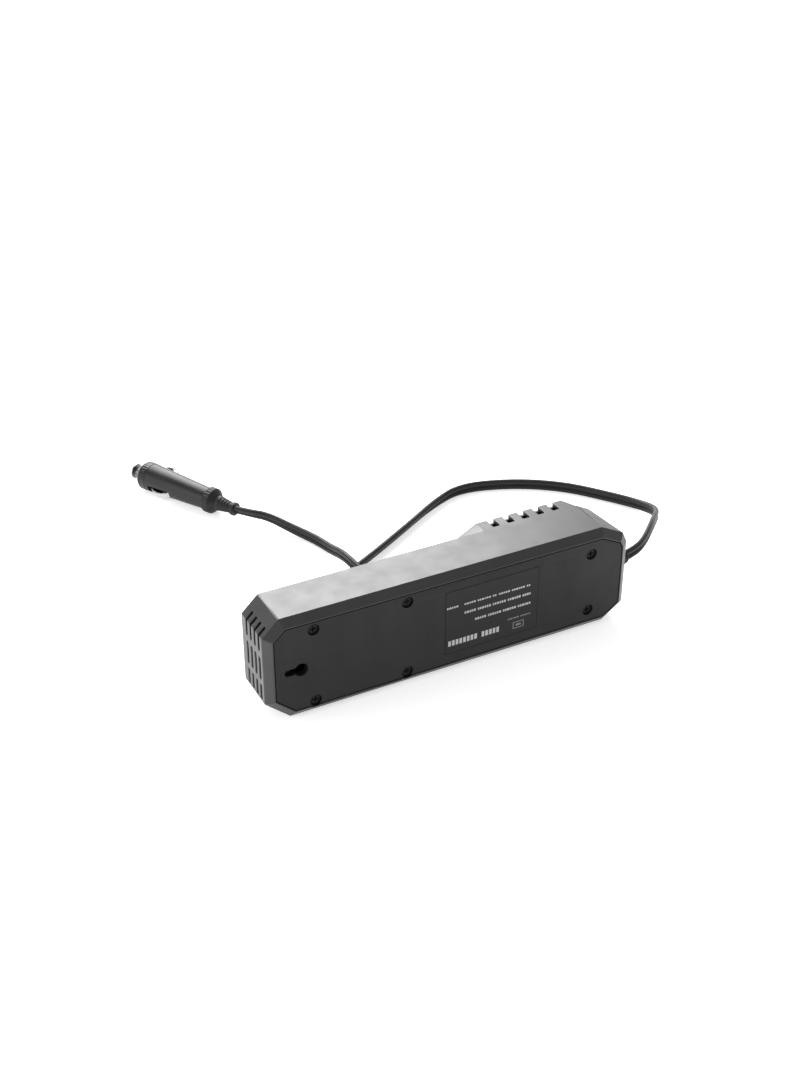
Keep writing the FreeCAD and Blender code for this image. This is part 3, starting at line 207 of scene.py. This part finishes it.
def base_material(name, colour, rough, metal=0.0, specular=0.5):
    mat = bpy.data.materials.new(name)
    mat.use_nodes = True
    shader = mat.node_tree.nodes["Principled BSDF"]
    shader.inputs["Base Color"].default_value = (*colour, 1)
    shader.inputs["Roughness"].default_value = rough
    shader.inputs["Metallic"].default_value = metal
    shader.inputs["Specular IOR Level"].default_value = specular
    return mat, mat.node_tree, shader


def noise(tree, scale, detail=3.0, stretch=(1, 1, 1)):
    coords = tree.nodes.new("ShaderNodeTexCoord")
    mapping = tree.nodes.new("ShaderNodeMapping")
    mapping.inputs["Scale"].default_value = stretch
    tree.links.new(coords.outputs["Object"], mapping.inputs["Vector"])
    texture = tree.nodes.new("ShaderNodeTexNoise")
    texture.inputs["Scale"].default_value = scale
    texture.inputs["Detail"].default_value = detail
    tree.links.new(mapping.outputs["Vector"], texture.inputs["Vector"])
    return texture.outputs["Fac"]


def spread(tree, value, low, high):
    """Maps the middle range of a noise texture to low..high."""
    node = tree.nodes.new("ShaderNodeMapRange")
    node.inputs["From Min"].default_value = 0.3
    node.inputs["From Max"].default_value = 0.7
    node.inputs["To Min"].default_value = low
    node.inputs["To Max"].default_value = high
    tree.links.new(value, node.inputs["Value"])
    return node.outputs["Result"]


def bump(tree, shader, height, distance):
    node = tree.nodes.new("ShaderNodeBump")
    node.inputs["Distance"].default_value = distance * MM
    node.inputs["Strength"].default_value = 1
    tree.links.new(height, node.inputs["Height"])
    tree.links.new(node.outputs["Normal"], shader.inputs["Normal"])


def mixed(tree, factor, first, second):
    node = tree.nodes.new("ShaderNodeMix")
    node.data_type = "RGBA"
    node.inputs["A"].default_value = (*first, 1)
    node.inputs["B"].default_value = (*second, 1)
    tree.links.new(factor, node.inputs["Factor"])
    return node.outputs["Result"]


def moulded(name, colour, rough, grain=2600, depth=0.02, wear=0.06, specular=0.5):
    """Moulded plastic or rubber: spark-textured grain, faint cloudiness in tone and gloss."""
    mat, tree, shader = base_material(name, colour, rough, specular=specular)
    cloudiness = 0.12
    darker = tuple(c * (1 - cloudiness) for c in colour)
    lighter = tuple(c * (1 + cloudiness) for c in colour)
    clouds = spread(tree, noise(tree, 45, 4), 0, 1)
    tree.links.new(mixed(tree, clouds, darker, lighter), shader.inputs["Base Color"])
    smears = spread(tree, noise(tree, 90, 5, (1, 1, 0.4)), rough - wear, rough + wear)
    tree.links.new(smears, shader.inputs["Roughness"])
    bump(tree, shader, noise(tree, grain, 2), depth)
    return mat


def metal(name, colour, rough, grain=(1, 1, 1)):
    """Bare metal: fine streaks, stretched by grain, and a faint dullness in patches."""
    mat, tree, shader = base_material(name, colour, rough, 1.0)
    streaks = noise(tree, 1200, 3, grain)
    tree.links.new(spread(tree, streaks, rough * 0.75, rough * 1.35), shader.inputs["Roughness"])
    darker = tuple(c * 0.86 for c in colour)
    tree.links.new(mixed(tree, spread(tree, noise(tree, 150), 0, 1), darker, colour),
                   shader.inputs["Base Color"])
    bump(tree, shader, streaks, 0.004)
    return mat


def clear(name, colour, rough=0.08, clarity=0.6):
    """Tinted clear plastic or glass."""
    mat, tree, shader = base_material(name, colour, rough)
    shader.inputs["Transmission Weight"].default_value = clarity
    shader.inputs["IOR"].default_value = 1.49
    tree.links.new(spread(tree, noise(tree, 300), rough * 0.6, rough * 1.6), shader.inputs["Roughness"])
    return mat


def paint(obj, mat):
    obj.data.materials.clear()
    obj.data.materials.append(mat)


def dress(mat, *names):
    """Gives a material to CAD pieces that stay as they are."""
    for name in names:
        obj = nodes[name]
        if not obj.material_slots:
            obj.data.materials.append(mat)
        for material_slot in obj.material_slots:
            material_slot.link = "OBJECT"
            material_slot.material = mat


# ---------------------------------------------------------------- cord

ROUTE = [
    (124.04, -4.58, 31.5), (134.7, -2.1, 31.5), (147, 6.5, 30.8), (161, 20.5, 27.5), (177.5, 38.5, 20),
    (190.5, 53.5, 12.5), (197, 68, 6.5), (194.2, 83, 3.7), (183.5, 98.5, 3.7), (164, 123.8, 3.7),
    (135.5, 143.3, 3.7), (100.5, 154.3, 3.7), (74.5, 143.8, 3.7), (43.5, 125, 3.7), (12.5, 106.7, 3.7),
    (-18.5, 90, 3.7), (-41.5, 79, 3.7), (-58.5, 66.5, 3.7), (-64.5, 47.5, 3.7), (-56, 30, 3.7),
    (-36.5, 21.5, 3.7), (-15, 26, 3.7), (-3.5, 43, 3.7), (-5, 62, 5.8), (-10, 83, 10.8),
    (-11, 103, 10.8), (-11, 121, 4.9), (-14, 138.5, 3.7), (-22.5, 157, 4.2), (-32.5, 173.5, 7.5),
    (-42, 180, 9), PLUG_TAIL,
]
CORD_THICK = 3.6
CORD_GROOVE = 0.25
# Share of the cord's length, and how far its broad side is turned up from flat, in degrees.
CORD_ROLL = [(0, 90), (0.34, 90), (0.44, 120), (0.6, 120), (0.74, 90), (0.92, 92), (1, 122)]


def route_points():
    """Points along the route's smooth line, read from its spline."""
    curve = bpy.data.curves.new("cord_route", "CURVE")
    curve.dimensions = "3D"
    spline = curve.splines.new("NURBS")
    spline.points.add(len(ROUTE) - 1)
    for point, place in zip(spline.points, ROUTE):
        point.co = (*[c * MM for c in place], 1)
    spline.order_u = 3
    spline.use_endpoint_u = True
    spline.resolution_u = 12
    carrier = bpy.data.objects.new("cord_route", curve)
    scene.collection.objects.link(carrier)
    bpy.context.view_layer.update()
    mesh = bpy.data.meshes.new_from_object(carrier)
    line = [v.co.copy() for v in mesh.vertices]
    bpy.data.objects.remove(carrier)
    bpy.data.curves.remove(curve)
    bpy.data.meshes.remove(mesh)
    return line


def keyed(keys, share):
    """The value at a share of the way, eased from each key (share, value) to the next."""
    for (a, first), (b, last) in zip(keys, keys[1:]):
        if share <= b:
            t = (share - a) / (b - a)
            t = t * t * (3 - 2 * t)
            return first + (last - first) * t
    return keys[-1][1]


def cord_section():
    """Outline of a flat cord, across and through: two round cores side by side with a groove between."""
    radius = CORD_THICK / 2
    offset = CORD_WIDTH / 2 - radius
    meet = math.acos(min(1, (offset - CORD_GROOVE) / radius))
    points, steps = [], 12
    for side in (1, -1):
        for i in range(steps + 1):
            turn = -math.pi + meet + (2 * math.pi - 2 * meet) * i / steps
            points.append((side * (offset + radius * math.cos(turn)), side * radius * math.sin(turn)))
    return points


def add_cord(mat):
    """The flat cord along the route. Also gives its middle line and its length in metres."""
    line = route_points()
    lengths = [0]
    for a, b in zip(line, line[1:]):
        lengths.append(lengths[-1] + (b - a).length)
    total = lengths[-1]
    section = cord_section()
    points, faces = [], []
    up = Vector((0, 0, 1))
    for i, place in enumerate(line):
        ahead, behind = line[min(i + 1, len(line) - 1)], line[max(i - 1, 0)]
        along = (ahead - behind).normalized()
        across = along.cross(up).normalized()
        rise = across.cross(along)
        roll = math.radians(keyed(CORD_ROLL, lengths[i] / total))
        broad = across * math.cos(roll) + rise * math.sin(roll)
        thin = along.cross(broad)
        points += [place + (broad * x + thin * y) * MM for x, y in section]
    count = len(section)
    for i in range(len(line) - 1):
        for k in range(count):
            a, b = i * count + k, i * count + (k + 1) % count
            faces.append((a, b, b + count, a + count))
    faces.append(tuple(reversed(range(count))))
    faces.append(tuple(range(len(points) - count, len(points))))
    cord = mesh_from("flat_cord", points, faces)
    smooth(cord, 50)
    paint(cord, mat)
    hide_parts("supply_cord")
    return cord, line, total


# ---------------------------------------------------------------- plug and relief

def turned(degrees, axis):
    return Matrix.Rotation(math.radians(degrees), 4, axis)


PLUG = (Matrix.Translation(PLUG_TAIL) @ turned(PLUG_HEADING, "Z") @ turned(-PLUG_PITCH, "Y")
        @ turned(PLUG_ROLL, "X"))
RELIEF = Matrix.Translation(RELIEF_ROOT) @ turned(RELIEF_TURN, "Z")


def ribs(first, last, pitch, depth):
    """Rings pressed into a tapering tail."""
    def wave(x, turn):
        if x < first or x > last:
            return 0
        return -depth * (0.5 - 0.5 * math.cos(2 * math.pi * (x - first) / pitch)) ** 2
    return wave


def flutes(first, last, count, depth):
    """Grip flutes along the axis, which fade out at both ends."""
    def wave(x, turn):
        if x < first or x > last:
            return 0
        fade = min(1, (x - first) / 0.8, (last - x) / 0.8)
        return -depth * fade * (0.5 - 0.5 * math.cos(count * turn)) ** 2
    return wave


def stepped(profile, first, last, step):
    """The outline with extra points between two places along the axis."""
    line = [profile[0]]
    for (x, r), (x2, r2) in zip(profile, profile[1:]):
        cuts = max(1, int((min(x2, last) - max(x, first)) / step)) if x2 > first and x < last else 1
        line += [(x + (x2 - x) * i / cuts, r + (r2 - r) * i / cuts) for i in range(1, cuts + 1)]
    return line


def add_plug_detail(rubber, gloss, dark):
    """The plug's boot, nose cap and tip, as outlines (along, out) from the cord's end."""
    boot = [(0, 3.0), (0, 4.5), (2.6, 4.5), (2.6, 3.6), (14.5, 5.2), (17.6, 7.9), (18.6, 8.7),
            (22.8, 8.7), (23.6, 7.9), (23.6, 1.0)]
    tail, grip = ribs(3.6, 12.4, 2.2, 0.4), flutes(18.4, 23.0, 24, 0.3)
    piece = lathe("boot_moulding", stepped(rounded(boot, 0.35), 3, 23.4, 0.25), PLUG, around=144,
                  wave=lambda x, turn: tail(x, turn) + grip(x, turn))
    paint(piece, rubber)
    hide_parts("plug_boot")
    cap = [(72.1, 8.06), (72.1, 9.7), (77.6, 9.7), (79.2, 8.6), (79.2, 2.68), (77.7, 2.68), (77.7, 8.06)]
    piece = lathe("nose_cap_moulding", stepped(rounded(cap, 0.3), 72.4, 77.8, 0.3), PLUG, around=180,
                  wave=flutes(73.2, 77.2, 30, 0.22))
    paint(piece, gloss)
    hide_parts("plug_nose_cap")
    pin = [(72.8, 0.05), (72.8, 3.8), (77.4, 3.8), (77.4, 2.6), (86.4, 2.6), (86.4, 5.2), (87.6, 5.2),
           (88.6, 3), (89.4, 1.2), (89.4, 0.05)]
    piece = lathe("tip_turning", rounded(pin, 0.3), PLUG, body="tip")
    paint(piece, dark)
    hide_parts("plug_tip")


def add_relief(rubber):
    """The cord's relief, as an outline (along, out) from the end wall."""
    outline = [(-4.8, 3.2), (-4.8, 6), (-2.8, 6), (-2.8, 4.2), (0.1, 4.2), (0.1, 5.6), (1.6, 5.6),
               (10.6, 4.1), (10.6, 3.2)]
    piece = lathe("relief_moulding", stepped(rounded(outline, 0.3), 2, 10, 0.25), RELIEF,
                  wave=ribs(2.2, 9.7, 2.5, 0.45))
    paint(piece, rubber)
    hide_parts("cord_relief")


# ---------------------------------------------------------------- print and small details

def add_label_print(ink, faint):
    """Bars that stand for the label's lines of type. The last line and the mark are fainter."""
    back, front = -20.44, -20.47
    word = (1.0, 1.4, 0.8, 1.1, 1.3, 0.9)
    word_gap, letter_gap = 1.3, 0.4
    rows = [(43.3, 1.2, ((27.6, 48.7), (5.3, 26), (-5.9, 1.3))), (37.5, 1.5, ((5.5, 48.8),)),
            (31, 1.5, ((12.4, 48.9),)), (23.6, 0.9, ((34.2, 49.2),))]
    for number, (z, high, spans) in enumerate(rows):
        bars = []
        for low, end in spans:
            x, count = low, 0
            while x < end - 0.6:
                long = min(word[count % 6], end - x)
                bars.append(((x, front, z - high / 2), (x + long, back, z + high / 2)))
                x += long + (word_gap if count % 6 == 4 else letter_gap)
                count += 1
        piece = slab(f"label_row_{number + 1}", bars)
        paint(piece, faint if number == 3 else ink)
    pitch, space_at = 2.42, 8
    title = [((-4.7 + pitch * k, front, 17.2), (-3.0 + pitch * k, back, 20.8))
             for k in range(14) if k != space_at]
    paint(slab("label_title", title), ink)
    frame_bars = [((37.7, front, 16), (45, back, 16.5)), ((37.7, front, 20.1), (45, back, 20.6)),
                  ((37.7, front, 16.5), (38.2, back, 20.1)), ((44.5, front, 16.5), (45, back, 20.1)),
                  ((39.6, front, 17.7), (43.1, back, 18.9))]
    paint(slab("label_mark", frame_bars), faint)


def ring_mesh(name, centre, inner, outer, low, high, where, body):
    """A flat ring about +Y of a frame."""
    profile = [(low, inner), (low, outer), (high, outer), (high, inner)]
    points, faces, around = [], [], 48
    for y, r in profile:
        for i in range(around):
            turn = 2 * math.pi * i / around
            points.append((where @ Vector((centre[0] + r * math.cos(turn), y,
                                           centre[1] + r * math.sin(turn)))) * MM)
    for k in range(4):
        for i in range(around):
            j, n = (i + 1) % around, (k + 1) % 4
            faces.append((k * around + i, k * around + j, n * around + j, n * around + i))
    obj = mesh_from(name, points, faces, body)
    smooth(obj, 40)
    return obj


def add_front_detail(ink, gold, gloss, nickel):
    """Marks on the rocker, the outlet's bead, port contacts, fuse caps and the fan's sticker."""
    lean = Matrix.Translation((SWITCH_X, 10.2, MIDDLE_Z)) @ turned(-8, "Z")
    slope = math.degrees(math.atan2(1.2, 8))
    right = lean @ Matrix.Translation((4.4, 1.96, 0)) @ turned(slope, "Z")
    left = lean @ Matrix.Translation((-4.4, 1.96, 0)) @ turned(-slope, "Z")
    paint(slab("rocker_mark_on", [((-0.35, -0.02, -1.7), (0.35, 0.03, 1.7))], "rocker", left), ink)
    paint(ring_mesh("rocker_mark_off", (0, 0), 1.05, 1.6, -0.02, 0.03, right, "rocker"), ink)
    here = Matrix.Identity(4)
    paint(ring_mesh("outlet_bead", (OUTLET_X, MIDDLE_Z), 17.6, 18.4, 20.0, 20.4, here, "inverter"), gloss)
    strips = [((x + dx - 0.5, 1.2, MIDDLE_Z + 0.16), (x + dx + 0.5, 8.6, MIDDLE_Z + 0.3))
              for x in (-47, -29) for dx in (-3.5, -1.1, 1.1, 3.5)]
    paint(slab("usb_a_contacts", strips), gold)
    fine = [((x - 0.13, 3.0, MIDDLE_Z + 0.38 * side), (x + 0.13, 8.7, MIDDLE_Z + 0.46 * side))
            for x in (-14.5 + 0.5 * k for k in range(-5, 6)) for side in (1, -1)]
    paint(slab("usb_c_contacts", fine), gold)
    caps = [[(65.9, 0.05), (65.9, 2.7), (70.5, 2.7), (70.5, 2.55)],
            [(81.5, 2.55), (81.5, 2.7), (86.1, 2.7), (86.1, 0.05)]]
    for side, outline in zip(("left", "right"), caps):
        where = Matrix.Translation((0, BOARD_TOP + 4, 22))
        paint(lathe("board_fuse_cap_" + side, outline, where, around=40), nickel)
    sticker = Matrix.Translation((-110, -3.8, MIDDLE_Z))
    piece = lathe("fan_hub_sticker", [(-0.03, 0.05), (-0.03, 4.6), (0.05, 4.6), (0.05, 0.05)], sticker,
                  body="rotor", around=48)
    paint(piece, nickel)


def add_wires(red, black, blue, brown, earth):
    """Leads between the cord, the board, the switch, the fan and the outlet."""
    red_lead = [(107.5, -8.6, 33), (103, -9.5, 40), (99.5, -11, 46), (96, -11.6, 38), (93, -11.6, 34.5)]
    paint(tube("supply_lead_positive", red_lead, 1.1), red)
    black_lead = [(107.5, -9.2, 30), (103, -9.6, 24), (99.5, -11, 17.5), (96.5, -11.6, 24), (93, -11.6, 27)]
    paint(tube("supply_lead_negative", black_lead, 1.1), black)
    for k, mat in enumerate((red, red, black)):
        x, end_x, end_z = SWITCH_X + SWITCH_SPACING * (k - 1), -66, 25 + 6 * k
        line = [(x, -7.4, MIDDLE_Z), (x, -12, MIDDLE_Z), ((x + end_x) / 2, -15.5, (MIDDLE_Z + end_z) / 2),
                (end_x - 3, -14.6, end_z), (end_x + 1, -13.4, end_z)]
        paint(tube(f"switch_lead_{k + 1}", line, 0.8), mat)
    for k, mat in enumerate((red, black)):
        z = 22.5 + 2.4 * k
        line = [(-100.4, -11, z), (-96, -13, z - 1), (-84, -15.3, z - 2), (-73, -15.3, z - 1),
                (-67, -13.4, z)]
        paint(tube(f"fan_lead_{k + 1}", line, 0.6), mat)
    for name, x, z, mat in (("live", OUTLET_X - 9.6, 24.9, brown), ("neutral", OUTLET_X + 9.6, 24.9, blue),
                            ("earth", OUTLET_X, 47, earth)):
        line = [(x, 2.0, z), (x, -1, z), (x + 1, -5, z), (x + 1.5, -11.6, z)]
        paint(tube("outlet_lead_" + name, line, 0.8), mat)


def add_board_detail(aluminium, nickel, tape):
    """Bare metal ends of the capacitors, the tape round the winding, and the buzzer's rim."""
    # The end of a can (along, out): a pressed rim round a flat bottom, for a can of radius 1.
    middle = 0.05
    disc = [(0, middle), (0, 0.82), (0.06, 0.82), (0.06, 0.68), (0.03, 0.66), (0.03, middle)]
    can_top = BOARD_TOP + 19
    ends = [("input_capacitor_end_1", (0.5, can_top, 25), 90, 6.2),
            ("input_capacitor_end_2", (0.5, can_top, 40), 90, 6.2),
            ("bus_capacitor_end", (83, BOARD_TOP + 5, 42.2), 0, 5)]
    for name, place, turn, radius in ends:
        outline = [(x, r * radius if r > middle else r) for x, r in disc]
        paint(lathe(name, outline, Matrix.Translation(place) @ turned(turn, "Z"), around=48), aluminium)
    where = Matrix.Translation((-50, BOARD_TOP + 5.5, 40)) @ turned(90, "Z")
    paint(lathe("buzzer_rim", [(0, 3.6), (0, 4.3), (0.25, 4.2), (0.25, 3.7)], where, around=48), nickel)
    x, z, half_long, inside, outside = 24, 32.5, 8.75, 7, 7.08
    wraps = [((x - half_long, BOARD_TOP + 9.2, z + low), (x + half_long, BOARD_TOP + 11.8, z + high))
             for low, high in ((-outside, -inside), (inside, outside))]
    paint(slab("winding_tape", wraps), tape)


# ---------------------------------------------------------------- build

add_camera()
rubber = moulded("cord_rubber", (0.012, 0.012, 0.013), 0.5, grain=1500, depth=0.008, specular=0.22)
cord, cord_line, cord_length = add_cord(rubber)

shell_mat = moulded("housing_plastic", (0.023, 0.0228, 0.0225), 0.4, depth=0.012, wear=0.04)
plate_mat = moulded("plate_plastic", (0.0125, 0.0123, 0.012), 0.5, depth=0.012, specular=0.24)
gloss_mat = moulded("gloss_plastic", (0.011, 0.011, 0.011), 0.36, depth=0.005, specular=0.24)
inner_mat = moulded("inner_plastic", (0.12, 0.12, 0.12), 0.5)
black_steel_mat = metal("blackened_steel", (0.022, 0.022, 0.022), 0.5)
steel_mat = metal("zinc_steel", (0.45, 0.45, 0.46), 0.35)
nickel_mat = metal("nickel", (0.72, 0.7, 0.66), 0.2)
dark_nickel_mat = metal("dark_nickel", (0.2, 0.195, 0.19), 0.35)
gold_mat = metal("gold_flash", (0.85, 0.62, 0.25), 0.25)
brass_mat = metal("brass", (0.78, 0.58, 0.28), 0.3)
copper_mat = metal("copper", (0.72, 0.35, 0.17), 0.35)
aluminium_mat = metal("aluminium", (0.7, 0.7, 0.72), 0.35, (1, 40, 1))
board_mat = moulded("solder_mask", (0.02, 0.2, 0.08), 0.3, depth=0.002)
ferrite_mat = moulded("ferrite", (0.06, 0.06, 0.065), 0.6)
chip_mat = moulded("chip", (0.02, 0.02, 0.02), 0.45)
sleeve_mat = moulded("sleeve", (0.03, 0.04, 0.14), 0.25, depth=0.002)
film_mat = moulded("film_dip", (0.7, 0.48, 0.06), 0.3, depth=0.004)
tongue_mat = moulded("tongue", (0.05, 0.1, 0.32), 0.45)
label_mat = moulded("label_film", (0.012, 0.0118, 0.0115), 0.38, depth=0.003, specular=0.22)
ink_mat = moulded("label_ink", (0.42, 0.42, 0.41), 0.5, depth=0.002)
faint_mat = moulded("label_ink_faint", (0.17, 0.17, 0.17), 0.5, depth=0.002)
green_mat = clear("green_lens", (0.15, 0.65, 0.28))
red_mat = clear("red_lens", (0.7, 0.1, 0.08))
glass_mat = clear("fuse_glass", (0.9, 0.95, 0.95), 0.03, 0.85)
wire_mats = {name: moulded("wire_" + name, colour, 0.4, depth=0.003) for name, colour in (
    ("red", (0.45, 0.02, 0.02)), ("black", (0.015, 0.015, 0.015)), ("blue", (0.02, 0.07, 0.4)),
    ("brown", (0.12, 0.045, 0.02)), ("earth", (0.1, 0.35, 0.04)))}

housing = refined("housing", 0.45)
paint(housing, shell_mat)
plate = refined("base_plate", 0.14, segments=1)
paint(plate, plate_mat)

dress(black_steel_mat, "base_screws")
dress(steel_mat, "board_screws", "input_transistor_screws", "output_transistor_screws")
dress(label_mat, "rating_label")
dress(rubber, "cord_relief", "plug_boot", "supply_cord")
dress(gloss_mat, "plug_near_half", "plug_far_half", "plug_nose_cap", "outlet_face", "switch_housing",
      "port_panel", "switch_rocker")
dress(shell_mat, "housing")
dress(plate_mat, "base_plate")
dress(dark_nickel_mat, "plug_tip")
dress(nickel_mat, "plug_near_contact", "plug_far_contact", "plug_spring", "usb_a_shells", "usb_c_shell")
dress(glass_mat, "plug_fuse", "board_fuse")
dress(inner_mat, "outlet_carrier", "outlet_shutter", "shutter_guides", "transformer_bobbin",
      "indicator_leds")
dress(brass_mat, "outlet_contacts", "earth_contact", "fuse_clips", "switch_terminals")
dress(tongue_mat, "usb_a_tongues", "usb_c_tongue")
dress(board_mat, "port_board", "main_board")
dress(green_mat, "power_lens")
dress(red_mat, "fault_lens")
dress(chip_mat, "fan_frame", "fan_rotor", "input_transistors", "output_transistors",
      "boost_controller", "output_controller", "buzzer")
dress(ferrite_mat, "transformer_core", "choke_core")
dress(copper_mat, "transformer_winding", "choke_winding")
dress(aluminium_mat, "input_heatsink", "output_heatsink")
dress(sleeve_mat, "input_capacitors", "bus_capacitor")
dress(film_mat, "film_capacitor")

add_plug_detail(rubber, gloss_mat, dark_nickel_mat)
add_relief(rubber)
add_label_print(ink_mat, faint_mat)
add_front_detail(ink_mat, gold_mat, gloss_mat, nickel_mat)
add_board_detail(aluminium_mat, nickel_mat, film_mat)
add_wires(**wire_mats)

on_cord = [nodes[name] for name in ("plug_near_half", "plug_far_half", "plug_near_contact",
                                    "plug_far_contact", "plug_spring", "plug_fuse")]
on_cord += [bpy.data.objects[name] for name in ("boot_moulding", "nose_cap_moulding", "tip_turning",
                                                "relief_moulding")]


# ---------------------------------------------------------------- floor and light

def area_light(name, place, target, size, power, size_y=None):
    data = bpy.data.lights.new(name, "AREA")
    data.shape = "RECTANGLE"
    data.size = size
    data.size_y = size_y or size
    data.energy = power
    light = bpy.data.objects.new(name, data)
    light.location = place
    light.rotation_mode = "QUATERNION"
    light.rotation_quaternion = (Vector(target) - Vector(place)).to_track_quat("-Z", "Y")
    scene.collection.objects.link(light)


def add_stage():
    """A pale floor just under the part, a light room and two soft lamps."""
    half, drop = 4, -0.0002
    mesh = bpy.data.meshes.new("floor")
    mesh.from_pydata([(-half, -half, drop), (half, -half, drop), (half, half, drop), (-half, half, drop)],
                     [], [(0, 1, 2, 3)])
    floor = bpy.data.objects.new("floor", mesh)
    scene.collection.objects.link(floor)
    mat, _, shader = base_material("floor", (0.9, 0.9, 0.9), 0.8, specular=0.2)
    shader.inputs["Emission Color"].default_value = (1, 1, 1, 1)
    shader.inputs["Emission Strength"].default_value = 0.55
    floor.data.materials.append(mat)
    world = bpy.data.worlds.new("studio")
    world.use_nodes = True
    sky = world.node_tree.nodes["Background"]
    sky.inputs["Color"].default_value = (1, 1, 1, 1)
    sky.inputs["Strength"].default_value = 0.6
    scene.world = world
    area_light("back", (0.14, 1.15, 0.85), (-0.08, 0.0, 0.05), 1.2, 42, 1.0)
    area_light("left", (-1.2, 0.1, 0.45), (0, 0, 0.03), 0.8, 6)
    scene.view_settings.view_transform = "Standard"


add_stage()
